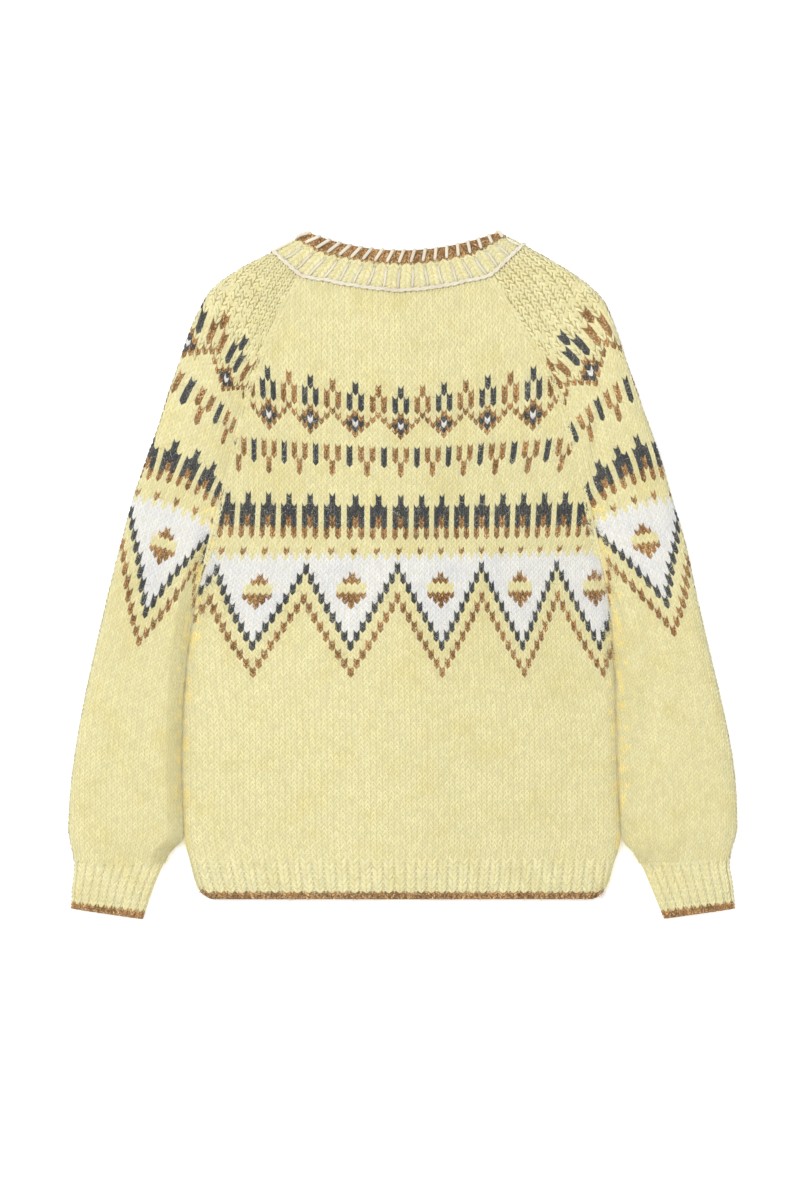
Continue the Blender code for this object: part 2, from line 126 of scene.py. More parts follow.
# Where the body goes on to its hem and each sleeve to its cuff
HEM = {"left": [(-182.6, -238.0), (-181.6, -240.5), (-177.2, -257.6), (-171.7, -275.0)],
       "right": [(182.6, -238.0), (181.6, -240.5), (176.6, -257.6), (170.8, -275.0)]}
CUFF_OUTER = {"left": [(-281.6, -235.4), (-280.2, -243.6), (-280.0, -247.0), (-281.6, -264.0),
                       (-282.6, -283.1)],
              "right": [(281.0, -232.9), (279.4, -241.0), (279.2, -245.0), (281.8, -263.5),
                        (283.5, -283.1)]}
CUFF_INNER = {"left": [(-196.8, -234.6), (-201.4, -243.6), (-203.2, -247.4), (-211.6, -267.5),
                       (-219.7, -292.4)],
              "right": [(196.8, -236.4), (201.0, -243.9), (202.9, -247.6), (211.6, -268.0),
                        (221.4, -292.0)]}
NECK_TOP_BACK = (-1.3, 277.1)
NECK_TOP = {"left": (-80.5, 292.4), "right": (80.3, 292.4)}
NECK_TOP_FRONT_Y = 237.2
Valley = namedtuple("Valley", "start end depth half_width")
VALLEYS = [
    Valley((165.0, 140.0), (166.5, 10.0), 2.2, 9.0),
    Valley((-163.0, 60.0), (-168.5, 0.0), 1.4, 10.0),
    Valley((213.0, -50.0), (209.0, -165.0), 1.3, 14.0),
    Valley((-222.0, -90.0), (-214.0, -180.0), 1.0, 14.0),
]

# Knitted rows of the body, counted from the neck seam down: row, height at the middle and at the
# left and right end, and x of each marked wale
WALE_MARK_STEP = 16
WALE_MARKS = [step * WALE_MARK_STEP for step in (-2, -1, 0, 1, 2)]
BODY_ROWS = [
    (0, 242.2, 255.0, 255.0, -150.0, -77.0, -2.0, 71.0, 144.0),
    (17, 160.1, 179.4, 179.4, -150.5, -78.4, -1.4, 72.6, 151.0),
    (27, 116.7, 127.5, 127.5, -147.5, -78.4, -1.4, 72.0, 150.0),
    (39, 68.0, 71.4, 71.4, -148.3, -78.5, -1.4, 68.0, 139.0),
    (47, 31.7, 34.0, 34.0, -151.0, -78.8, -1.8, 67.2, 136.0),
    (52, 10.6, 9.4, 13.6, -157.3, -81.6, -4.2, 67.2, 131.1),
    (70, -62.9, -62.9, -62.9, -170.0, -86.1, -4.0, 69.0, 135.0),
    (75, -81.6, -81.6, -81.6, -169.0, -85.8, -3.7, 69.6, 137.0),
    (90, -141.1, -141.1, -141.1, -165.3, -84.6, -2.5, 71.4, 144.1),
    (110, -216.8, -216.8, -216.8, -165.3, -84.6, -2.1, 71.8, 144.1),
    (116, -240.5, -240.5, -240.5, -161.5, -82.6, -2.1, 70.4, 142.0),
    (123, -269.2, -269.2, -269.2, -154.5, -79.5, -2.0, 68.2, 138.9),
    (125, -275.0, -275.0, -275.0, -152.5, -78.6, -2.0, 67.5, 138.0),
]
RIB_ROW = 116
LAST_ROW = 125
BACK_PIECE_ROWS = (0, 64, RIB_ROW)
FRONT_PIECE_ROWS = (0, RIB_ROW)

# Knitted rows of the sleeves: row, height at the outer fold and at the seam, x and y of the marked
# wale, and the wales at the outer fold and at the seam
SLEEVE_MARK = 8.0
SLEEVE_ROWS = {
    "left": [
        (0, 276.2, 255.0, -96.8, 264.1, 4.0, 11.0),
        (8, 262.6, 221.5, -113.8, 238.0, 2.5, 11.8),
        (17, 238.0, 183.0, -132.6, 202.9, 0.8, 12.4),
        (22, 212.8, 156.5, -146.4, 177.7, 0.0, 14.0),
        (27, 187.9, 135.5, -153.2, 157.8, 0.0, 15.2),
        (33, 152.8, 110.0, -163.8, 133.2, 0.8, 15.8),
        (39, 119.0, 81.5, -173.3, 106.6, 0.6, 16.0),
        (43, 101.5, 70.0, -181.0, 90.5, -0.2, 16.4),
        (47, 83.3, 54.4, -187.4, 75.7, -0.6, 16.6),
        (52, 59.5, 34.0, -196.8, 49.6, -0.2, 16.5),
        (61, 18.0, -4.0, -207.3, 10.5, -0.1, 17.0),
        (70, -27.2, -44.5, -219.4, -35.0, 0.0, 17.4),
        (90, -102.0, -117.3, -233.3, -108.0, 0.0, 19.0),
        (110, -173.4, -188.7, -238.4, -180.2, -1.5, 20.0),
        (120, -207.4, -222.7, -238.4, -215.0, -2.0, 20.0),
        (128, -243.6, -244.6, -242.0, -246.5, -1.5, 18.0),
    ],
    "right": [
        (0, 282.5, 255.0, 87.3, 267.0, 4.0, 11.0),
        (8, 261.8, 221.0, 110.0, 242.0, 3.0, 11.8),
        (17, 236.3, 179.0, 133.5, 206.0, 1.5, 12.6),
        (22, 208.5, 155.0, 154.0, 184.6, 2.0, 14.0),
        (27, 182.5, 135.0, 165.1, 162.3, 1.8, 15.0),
        (33, 152.0, 110.5, 174.5, 135.7, 1.5, 16.2),
        (39, 124.1, 83.0, 181.4, 109.3, 1.0, 15.8),
        (43, 104.5, 68.5, 188.0, 94.1, 0.5, 15.5),
        (47, 83.0, 54.4, 193.4, 76.6, 0.3, 16.3),
        (52, 56.5, 39.1, 200.6, 52.6, 0.0, 16.2),
        (61, 13.0, -2.0, 210.8, 15.5, 1.1, 17.6),
        (70, -29.8, -44.2, 225.7, -26.8, 2.0, 19.0),
        (90, -96.9, -110.5, 240.1, -101.2, 1.4, 21.0),
        (110, -171.7, -181.9, 247.8, -173.4, -0.1, 22.4),
        (120, -207.4, -226.1, 248.6, -212.5, -0.1, 21.6),
        (128, -241.4, -244.6, 245.2, -246.5, 0.5, 19.0),
    ],
}
# Past the underarm the wales beside the body crowd together, to a share of their width
CROWDED_ROWS = (51.0, 58.0)
CROWDING = {"left": 0.6, "right": 0.85}
CUFF_START_Y = -215.0
CUFF_NARROWING = 20.0
CUFF_ROW = 128
CUFF_ROWS = 11
CUFF_WALES = 40
NECK_ROWS = 9
NECK_WALES = 80

# Stitch charts, one letter for a stitch and one text for a row: y pale yellow, w white, b brown,
# d charcoal. The first letter is the middle of the motif.
FLOWERS = ["dyyybyyy", "dyyybyyy", "ydybybyd", "ydybybyd", "ydybybyd",
           "byyybyyy", "dbybybyb", "wdbyyybd", "dbyyyyyb", "byyyyyyy"]
FORKS = ["ybydyb", "ybydyb", "ybydyb", "byydyy", "byyyyy", "byyyyy"]
TEETH = ["dyyy", "dyyy", "ddyd", "ddyd", "bdyd", "bdyd", "ybyb", "ybyb"]
DOTS = ["byyy", "ywyw", "wwww"]
CHARTS = [(17, FLOWERS), (29, FORKS), (39, TEETH), (49, DOTS)]
ZIGZAG_ROW = 52
ZIGZAG_STEPS = 9
ZIGZAG_REPEAT = 16
ZIGZAG_LINE = 2
BROWN_LINE_DROP = 6
# The lozenge in each zigzag: half its width and its yarn, by row
LOZENGE = {2: (0, "b"), 3: (1, "b"), 4: (2, "y"), 5: (2, "y"), 6: (2, "b"), 7: (1, "b"), 8: (0, "b")}
# Three more yarns are in no chart: c cream for sewing, o a dark yellow painted as shade in the gaps
# between stitches, g a golden yellow painted as warm shade in the creases beside the sleeves
YARNS = "ywbdcog"
CREAM = YARNS.index("c")
PAINTED_GAP_SHADE = YARNS.index("o")
PAINTED_WARM_SHADE = YARNS.index("g")
# Multipliers of a sine that scatters numbers over rows and wales
SCATTER = (43758.5, 12.9, 78.2)
# Near the neck, more and more of the sleeves' yellow cloth under the stitches is painted dark, as shade
# in the gaps between them, down to this row
GAP_SHADE_ROWS = 26
# Beside the creases between sleeves and body, more and more yellow stitches are golden: painted warm
# shade, for the light that the yellow walls of the creases bounce into them
WARM_SHADE_ROWS = (46, 114)
BODY_WARM_SHADE_WALES = 1.7
SLEEVE_WARM_SHADE_WALES = 3.4

# One leg of a stitch, as points (wales across, rows down, height over the cloth in millimetres),
# from its sunken top tip past rings of left, ridge and right to its bottom tip
Ring = namedtuple("Ring", "across down half_width height")
SUNK = -1.9
GROUND = -1.5
RINGS = [Ring(-0.40, -0.50, 0.17, -0.20), Ring(-0.25, 0.00, 0.21, 0.15), Ring(-0.145, 0.42, 0.16, -0.15)]
LIGHT_RINGS = [Ring(-0.38, -0.35, 0.18, 0.0), Ring(-0.19, 0.32, 0.20, 0.0)]
TOP_TIP = (-0.52, -0.95, SUNK)
BOTTOM_TIP = (-0.08, 0.66, SUNK)
# The bump of a purl stitch, which lies across its wale
PURL = [(-0.52, 0.0, SUNK), (-0.22, -0.30, SUNK), (-0.22, 0.0, 0.0), (-0.22, 0.30, SUNK),
        (0.22, -0.30, SUNK), (0.22, 0.0, 0.0), (0.22, 0.30, SUNK), (0.52, 0.0, SUNK)]
# How far the cloth under a stitch is pointed like a V, in rows
CHEVRON = 0.28
# Scatter of the stitches across in wales, down in rows, and in height
JITTER = (0.025, 0.05, 0.08)
# The middle of a whole stitch lies this far inside its panel's ends, in wales
STITCH_EASE = 0.2
# Legs on cloth that faces down more than this are the light ones
SEEN_SLOPE = -0.3
# The closed cloth's inner side lies this far inside the wall, and its outer side at least so far
# over the inner one
INNER_EASE = 0.2
LEAST_GROUND = 0.4

# One by one ribs: first row, a raised wale's number, and depth. At full depth, raised wales rise
# and purl wales sink so far. A rib sets in over so many rows, so that one that covers its whole
# piece starts before it.
Rib = namedtuple("Rib", "start knit depth")
RIB_LIFT = 0.30
PURL_DROP = -1.4
RIB_SWELL = 1.5
RIB_ONSET = 1.5
HEM_RIB = Rib(RIB_ROW, 0, 0.85)
TRIM_RIB = Rib(-2, 0, 0.85)
NECK_RIB = Rib(-2, 1, 0.55)

# Brown edges, front bands and the hem's rounded corners
BROWN_EDGE_ROWS = 2
CUFF_PLAIN_SHARE = 0.87
NECK_BROWN_ROWS = 3
BAND_WALES = 7
BAND_ROWS = 125
HEM_CORNER = 11.0
HEM_CORNER_RISE = 5.5
HEM_CORNER_ROWS = 5

# Loose fibres: their sizes, and how many lie on each panel and along each crease
HAIR_LENGTH = (3.0, 8.0)
HAIR_RISE = (0.1, 1.2)
HAIR_ROOT = 0.3
HAIR_BEND = 0.3
HAIR_WIDTH = 0.17
HAIR_TAPER = 0.5
BACK_HAIRS, FRONT_HAIRS, SLEEVE_HAIRS, NECK_HAIRS = 11000, 2500, 5500, 1500
CREASE_HAIRS = 1500
CREASE_INSET = 0.8

# From the underarm down the ground of sleeve and body rises at their edges, over so many wales
UNDERARM_ROW = 50
EDGE_FILL = 1.6
EDGE_FILL_ROWS = 3.0
EDGE_HEIGHT = -0.1

# The cord over the neck's seam: two strands that wind about each other and wander a little
CORD_RADIUS = 1.05
CORD_SPREAD = 0.85
CORD_HEIGHT = 0.75
CORD_WAVE = 0.4
CORD_STEP = 0.2
CORD_WANDER = 0.11
CORD_WAVES = ((1.7, 0.0), (0.63, 1.0))
# Its arms: height at the foot, drop to the tip, and a slight bend in wales
ARM_RADIUS = 1.1
ARM_ROWS = 5.2
ARM_POINTS = 5
ARM_FOOT = 0.1
ARM_DROP = 1.2
ARM_BEND = 0.08
ARM_TURN = 5.0
# The whip stitches: a slanted arch on the front, then points over the edge
WHIP_RADIUS = 1.4
WHIP_SIDES = 8
WHIP_END = 0.7
WHIP_LEAN = 0.75
WHIP_LEAN_CHANGE = 0.15
WHIP_LEAN_TURN = 3.1
WHIP_ROWS = 2.75
WHIP_EVERY = 2
WHIP_POINTS = 6
WHIP_FOOT = -0.5
WHIP_ARCH = 1.1
WHIP_ARCH_SPAN = (0.1, 0.75)
WHIP_OVER_WALES = np.array([0.1, 0.15, 0.2])
WHIP_OVER_HEIGHTS = np.array([-0.4, -1.6, -3.0])

# Buttons, as in the CAD, with four holes and crossed threads, and the loops of their buttonholes
BUTTON_RADIUS = 9.0
BUTTON_RIM = 2.0
BUTTON_DISH = 0.6
BUTTON_EASE = 0.6
BUTTON_EDGE = 0.5
BUTTON_BACK_EASE = 0.3
BUTTON_SIDES = 64
BUTTON_DISH_RINGS = 26
BUTTON_RIM_RINGS = 12
BUTTON_HOLE = 1.0
BUTTON_HOLE_AT = 1.5
BUTTON_HOLE_EASE = 0.5
BUTTON_HOLE_DEPTH = 1.2
BUTTON_COUNT = 5
FIRST_BUTTON_ABOVE_HEM = 20.0
LAST_BUTTON_BELOW_NECK = 16.0
THREAD_DEPTH = 0.9
THREAD_RISE = 0.45
THREAD_RADIUS = 0.35
THREAD_POINTS = 7
HOLE_YARN = 0.45
HOLE_DEPTH = 0.1
HOLE_HALF_WIDTH = 1.6
HOLE_HALF_LENGTH = 11.5
HOLE_POINTS = 41

# Raglan seams: a column of stitches from the neck to the underarm
SEAM_END_Y = 9.0
SEAM_RAISE = 0.25
SEAM_STITCH = 4.4
SEAM_HALF = 2.9
SEAM_WALL = 2.4

# Yarns in the order of their letters: colours, where specks start, and how much the tone varies
Yarn = namedtuple("Yarn", "name colour streak cloud speck speck_from tone")
YARN_LOOKS = [
    Yarn("yellow", (0.80, 0.743, 0.42), (0.86, 0.83, 0.595), (0.80, 0.735, 0.41),
         (0.72, 0.48, 0.16), 0.70, 0.07),
    Yarn("white", (0.82, 0.82, 0.81), (0.88, 0.88, 0.86), (0.78, 0.79, 0.82),
         (0.70, 0.67, 0.57), 0.74, 0.05),
    Yarn("brown", (0.29, 0.13, 0.045), (0.62, 0.41, 0.19), (0.21, 0.095, 0.035),
         (0.74, 0.58, 0.31), 0.58, 0.36),
    Yarn("charcoal", (0.050, 0.053, 0.055), (0.17, 0.175, 0.165), (0.065, 0.07, 0.085),
         (0.52, 0.50, 0.40), 0.65, 0.32),
    Yarn("cream", (0.73, 0.67, 0.52), (0.83, 0.79, 0.67), (0.68, 0.59, 0.47),
         (0.56, 0.44, 0.30), 0.74, 0.08),
    # Painted shade: the dark yarn for the gaps between stitches near the neck
    Yarn("open", (0.48, 0.42, 0.20), (0.60, 0.54, 0.29), (0.44, 0.38, 0.18),
         (0.38, 0.27, 0.10), 0.70, 0.1),
    # Painted warm shade: the golden yarn for the creases beside the sleeves
    Yarn("golden", (0.92, 0.81, 0.36), (0.94, 0.86, 0.52), (0.92, 0.78, 0.32),
         (0.80, 0.50, 0.16), 0.68, 0.05),
]
WHITE = (1.0, 1.0, 1.0)
# Painted shade: copies of the wools darkened by this tint colour the cloth under the stitches, for the
# shade in the gaps between them
PAINTED_SHADE_TINT = (0.87, 0.82, 0.68)
WOOL_GLOSS = {"Roughness": 0.95, "Specular IOR Level": 0.15, "Sheen Weight": 0.2, "Sheen Roughness": 0.6}
HORN_GLOSS = {"Roughness": 0.3, "Specular IOR Level": 0.5}
HORN_DARK = (0.035, 0.014, 0.006)
HORN_BROWN = (0.16, 0.07, 0.03)
HORN_LIGHT = (0.34, 0.19, 0.09)
# Noise in a material: cells to a metre, detail, roughness and distortion, and between which values
# its effect grows
Noise = namedtuple("Noise", "scale detail roughness distortion low high", defaults=(0.0, 0.0, 1.0))
WOOL_STREAKS = Noise(800.0, 3.0, 0.6, 0.0, 0.40, 0.66)
WOOL_CLOUDS = Noise(42.0, 3.0, 0.6, 0.0, 0.45, 0.75)
WOOL_SPECKS = Noise(600.0, 2.0, 0.5)
SPECK_SPAN = 0.06
WOOL_NAP = Noise(1500.0, 3.0, 0.7)
HORN_SWIRLS = Noise(90.0, 5.0, 0.6, 2.5, 0.35, 0.60)
HORN_VEINS = Noise(160.0, 4.0, 0.6, 1.5, 0.60, 0.78)
HORN_WEAR = Noise(400.0, 3.0, 0.6, 0.0, 0.3, 0.7)
HORN_WEAR_ROUGHNESS = (0.22, 0.42)
HORN_GRAIN = Noise(900.0, 3.0, 0.6)
# Relief: strength, and distance in metres
WOOL_RELIEF = (0.35, 0.0004)
HORN_RELIEF = (0.1, 0.0002)

# Floor, light and camera, in metres. The lamps have a place, a size and a power.
FLOOR_HALF = 12.0
FLOOR_DROP = 0.0005
PAPER = {"Base Color": (0.95, 0.95, 0.95, 1.0), "Roughness": 0.9, "Specular IOR Level": 0.1,
         "Emission Color": (1.0, 1.0, 1.0, 1.0), "Emission Strength": 0.3}
SKY = {"Color": (1.0, 1.0, 1.0, 1.0), "Strength": 0.795}
LAMPS = {"key": ((-1.1, 0.6, 2.4), 1.2, 30.5), "fill": ((1.4, -0.6, 2.4), 1.8, 9.0)}
LENS = 100.0
SENSOR_WIDTH = 36.0
FRAME_HEIGHT = 1.020
CAMERA_X, CAMERA_Y = -0.0021, -0.0204
CLIP_END = 20.0

random = np.random.default_rng(7)


def leg(rings):
    """The points and triangles of one leg."""
    points = [TOP_TIP]
    for ring in rings:
        low, high = ring.across - ring.half_width, ring.across + ring.half_width
        points += [(low, ring.down, SUNK), (ring.across, ring.down, ring.height), (high, ring.down, SUNK)]
    points.append(BOTTOM_TIP)
    last = len(points) - 1
    faces = [(0, 1, 2), (0, 2, 3), (last - 3, last, last - 2), (last - 2, last, last - 1)]
    for start in range(1, last - 3, 3):
        for side in (start, start + 1):
            faces += [(side, side + 3, side + 4), (side, side + 4, side + 1)]
    return points, faces


FULL_LEG = leg(RINGS)
LIGHT_LEG = leg(LIGHT_RINGS)
PURL_BUMP = (PURL, LIGHT_LEG[1])


def set_inputs(node, values):
    for key, value in values.items():
        node.inputs[key].default_value = value


class Finish:
    """A material whose shader takes its colour and relief from noise in the piece's own space."""

    def __init__(self, name, gloss):
        self.made = bpy.data.materials.new(name)
        self.made.use_nodes = True
        self.nodes, self.links = self.made.node_tree.nodes, self.made.node_tree.links
        self.shader = self.nodes["Principled BSDF"]
        set_inputs(self.shader, gloss)
        self.place = self.nodes.new("ShaderNodeTexCoord").outputs["Object"]

    def noise(self, look):
        item = self.nodes.new("ShaderNodeTexNoise")
        set_inputs(item, {"Scale": look.scale, "Detail": look.detail, "Roughness": look.roughness,
                          "Distortion": look.distortion})
        self.links.new(self.place, item.inputs["Vector"])
        return item.outputs["Fac"]

    def spread(self, value, low, high, to_low=0.0, to_high=1.0):
        item = self.nodes.new("ShaderNodeMapRange")
        set_inputs(item, {"From Min": low, "From Max": high, "To Min": to_low, "To Max": to_high})
        self.links.new(value, item.inputs["Value"])
        return item.outputs["Result"]

    def blend(self, look, base, colour):
        """The base turned into a colour where a noise is high."""
        item = self.nodes.new("ShaderNodeMix")
        item.data_type = "RGBA"
        self.links.new(self.spread(self.noise(look), look.low, look.high), item.inputs["Factor"])
        if isinstance(base, tuple):
            item.inputs["A"].default_value = (*base, 1.0)
        else:
            self.links.new(base, item.inputs["A"])
        item.inputs["B"].default_value = (*colour, 1.0)
        return item.outputs["Result"]

    def relief(self, look, strength, distance):
        bump = self.nodes.new("ShaderNodeBump")
        set_inputs(bump, {"Strength": strength, "Distance": distance})
        self.links.new(self.noise(look), bump.inputs["Height"])
        self.links.new(bump.outputs["Normal"], self.shader.inputs["Normal"])


def yarn_material(yarn, ending="", tint=WHITE):
    """Brushed melange wool: streaks, soft clouds, specks, a tone to each leg and a fine nap. A tint other
    than white darkens all its colours, for a copy with painted shade.
    """
    finish = Finish(f"{yarn.name}_wool{ending}", WOOL_GLOSS)
    colour, streak, cloud, speck = [tuple(c * t for c, t in zip(colour, tint)) for colour in yarn[1:5]]
    specks = WOOL_SPECKS._replace(low=yarn.speck_from, high=yarn.speck_from + SPECK_SPAN)
    mixed = colour
    for look, other in ((WOOL_STREAKS, streak), (WOOL_CLOUDS, cloud), (specks, speck)):
        mixed = finish.blend(look, mixed, other)
    island = finish.nodes.new("ShaderNodeNewGeometry").outputs["Random Per Island"]
    shade = finish.nodes.new("ShaderNodeHueSaturation")
    tone = finish.spread(island, 0.0, 1.0, 1.0 - yarn.tone, 1.0 + yarn.tone)
    finish.links.new(tone, shade.inputs["Value"])
    finish.links.new(mixed, shade.inputs["Color"])
    finish.links.new(shade.outputs["Color"], finish.shader.inputs["Base Color"])
    finish.relief(WOOL_NAP, *WOOL_RELIEF)
    return finish.made


def horn_material():
    """Polished brown horn with light and dark swirls."""
    finish = Finish("brown_horn", HORN_GLOSS)
    mixed = finish.blend(HORN_VEINS, finish.blend(HORN_SWIRLS, HORN_DARK, HORN_BROWN), HORN_LIGHT)
    finish.links.new(mixed, finish.shader.inputs["Base Color"])
    gloss = finish.spread(finish.noise(HORN_WEAR), HORN_WEAR.low, HORN_WEAR.high, *HORN_WEAR_ROUGHNESS)
    finish.links.new(gloss, finish.shader.inputs["Roughness"])
    finish.relief(HORN_GRAIN, *HORN_RELIEF)
    return finish.made


WOOLS = [yarn_material(yarn) for yarn in YARN_LOOKS]
# The darkened copies: painted shade for the cloth that shows between the stitches
PAINTED_SHADE_WOOLS = [yarn_material(yarn, "_painted_shade", PAINTED_SHADE_TINT) for yarn in YARN_LOOKS]


def monotone(xs, ys, at):
    """A smooth curve through points that doesn't overshoot them (piecewise cubic Hermite)."""
    xs, ys = np.asarray(xs, float), np.asarray(ys, float)
    gaps = np.diff(xs)
    slopes = np.diff(ys) / gaps
    tangents = np.empty_like(ys)
    tangents[0], tangents[-1] = slopes[0], slopes[-1]
    before, after = slopes[:-1], slopes[1:]
    weight = 3.0 * (gaps[:-1] + gaps[1:])
    with np.errstate(divide="ignore", invalid="ignore"):
        mean = weight / ((2 * gaps[1:] + gaps[:-1]) / before + (gaps[1:] + 2 * gaps[:-1]) / after)
    tangents[1:-1] = np.where(before * after > 0.0, mean, 0.0)
    at = np.asarray(at, float)
    cell = np.clip(np.searchsorted(xs, at) - 1, 0, len(xs) - 2)
    gap = gaps[cell]
    share = (at - xs[cell]) / gap
    inside = np.clip(share, 0.0, 1.0)
    low, high = ys[cell], ys[cell + 1]
    value = (low * (1 + 2 * inside) * (1 - inside) ** 2 + high * inside ** 2 * (3 - 2 * inside)
             + gap * (tangents[cell] * inside * (1 - inside) ** 2
                      - tangents[cell + 1] * inside ** 2 * (1 - inside)))
    return value + (share - inside) * gap * np.where(share > 0.5, tangents[cell + 1], tangents[cell])


def smooth(share):
    share = np.clip(share, 0.0, 1.0)
    return share * share * (3.0 - 2.0 * share)


def placket_rise(x):
    return PLACKET_RISE * (1.0 - smooth((np.abs(x) - PLACKET_FLAT) / (PLACKET_REACH - PLACKET_FLAT)))


def valley_depth(x, y):
    """How deep the soft folds of the sleeves are at a place."""
    depth = np.zeros_like(x)
    for valley in VALLEYS:
        start, end = np.array(valley.start), np.array(valley.end)
        way = end - start
        along = ((x - start[0]) * way[0] + (y - start[1]) * way[1]) / (way @ way)
        held = np.clip(along, 0.0, 1.0)
        away = np.hypot(x - start[0] - held * way[0], y - start[1] - held * way[1])
        fall = 0.5 + 0.5 * np.cos(np.pi * np.minimum(away / valley.half_width, 1.0))
        depth += valley.depth * np.sqrt(np.sin(np.pi * held)) * fall
    return depth


def x_on(points, y):
    """x where a line of points that runs down the garment has the height y."""
    ordered = sorted(points, key=lambda p: p[1])
    return float(monotone([p[1] for p in ordered], [p[0] for p in ordered], y))


def seam_points(side):
    return [getattr(s, f"seam_{side}") for s in SECTIONS]


def curl_at(y):
    ys = [s.seam_left[1] for s in SECTIONS]
    return float(np.interp(y, ys[::-1], [s.curl for s in SECTIONS][::-1]))


def front_heights(y):
    """Heights on the front's seam and at its middle that go with a height on the back's seam."""
    ys = np.array([s.seam_left[1] for s in SECTIONS])
    places = np.arange(len(ys), dtype=float)
    place = float(np.interp(-y, -ys, places))
    if place < YOKE_SECTIONS:
        middle_y = float(np.interp(place, places, [s.front_y for s in SECTIONS]))
        place = FRONT_NECK_SECTION + place * (YOKE_SECTIONS - FRONT_NECK_SECTION) / YOKE_SECTIONS
        return float(np.interp(place, places, ys)), middle_y
    return y, y


def edge_curve(curl, width, height):
    """Distances in and heights of the cloth's outer side from flat (first) to its edge (last)."""
    most = max(curl, LEAST_CURL) * math.pi / 2.0
    turn = np.linspace(0.0, 1.0, EDGE_POINTS) * most
    reach = np.sin(turn) ** EDGE_FULLNESS / math.sin(most) ** EDGE_FULLNESS
    drop = 1.0 - np.cos(turn) ** EDGE_FULLNESS
    return width * (1.0 - reach), height - (height / 2.0 - SEAM_GAP / 2.0) * drop


def corner_rise(row, distance):
    """How far the hem's corners round upwards."""
    late = float(smooth((row - LAST_ROW + HEM_CORNER_ROWS) / HEM_CORNER_ROWS))
    return HEM_CORNER_RISE * late * np.clip(1.0 - distance / HEM_CORNER, 0.0, 1.0) ** 2


def arc_lengths(points):
    steps = np.linalg.norm(np.diff(points, axis=0), axis=1)
    return np.concatenate([[0.0], np.cumsum(steps)])


def points_at(at, places, points):
    """The points of a line at numbers that run along it."""
    return np.stack([np.interp(at, places, axis) for axis in points.T], -1)


def unit(vectors):
    return vectors / np.linalg.norm(vectors, axis=1, keepdims=True)


def table_values(table, row):
    """What the columns of a table say at a knitted row, which may lie between its rows."""
    rows, *columns = zip(*table)
    return [float(monotone(rows, column, row)) for column in columns]


# One row of stitches as a curve on the cloth's outer side, with a wale number at each point
Line = namedtuple("Line", "points wales normals")


def line_across(points, wales, up, out=1.0):
    """A row whose normals are square to it and to up. out is 1 where its top faces up, -1 if down."""
    tangents = np.gradient(points, axis=0)
    normals = np.cross(np.broadcast_to(up, points.shape), tangents)
    normals /= np.maximum(np.linalg.norm(normals, axis=1, keepdims=True), LEAST_NORMAL)
    furthest = np.argmax(points[:, 2] * out)
    return Line(points, wales, normals * math.copysign(1.0, normals[furthest, 2] * out))


def body_half(side, row, band_z=None):
    """Half a row of the back from its middle out to its rolled edge, as points and wales.

    With the height of a band it is a row of a front instead, and starts beside the band.
    """
    middle_y, left_y, right_y, *marks = table_values(BODY_ROWS, row)
    sign, end_y, outer_marks = (-1.0, left_y, marks[:2]) if side == "left" else (1.0, right_y, marks[-2:])
    spacing = (outer_marks[1] - outer_marks[0]) / WALE_MARK_STEP
    inner, bow = 0.0, BACK_BOW
    if band_z is not None:
        end_y, middle_y = front_heights(end_y)
        inner, bow = BAND_WIDTH / 2.0 + SEAM_GAP, FRONT_BOW
    width = abs(x_on(seam_points(side) + HEM[side], end_y)) - SEAM_GAP / 2.0
    edge_d, edge_z = edge_curve(curl_at(end_y), FOLD_WIDTH, LAID_HEIGHT)
    flat_d = np.linspace(width - inner, FOLD_WIDTH, BODY_POINTS)[:-1]
    distance = np.concatenate([flat_d, edge_d])
    x = sign * (width - distance)
    y = middle_y + (end_y - middle_y) * np.clip(1.0 - distance / width, 0.0, 1.0) ** bow
    z = np.concatenate([np.full(len(flat_d), LAID_HEIGHT), edge_z])
    arc = arc_lengths(np.stack([x, z], -1))
    wales = monotone(marks, WALE_MARKS, x)
    turn = len(flat_d)
    wales[turn:] = wales[turn] + sign * (arc[turn:] - arc[turn]) / spacing
    if band_z is None:
        z = z + placket_rise(x)
    else:
        z = LAID_HEIGHT - z + band_z * smooth((distance - width + inner + RAMP_WIDTH) / RAMP_WIDTH)
    return np.stack([x, y + corner_rise(row, distance), z], -1), wales


def back_line(row):
    halves = [body_half(side, row) for side in SIDES]
    points, wales = (np.concatenate([left[::-1], right[1:]]) for left, right in zip(*halves))
    return line_across(points, wales, TOWARDS_NECK)


def front_line(side, band_z, row):
    points, wales = body_half(side, row, band_z)
    if side == "left":
        points, wales = points[::-1], wales[::-1]
    return line_across(points, wales, TOWARDS_NECK, -1.0)


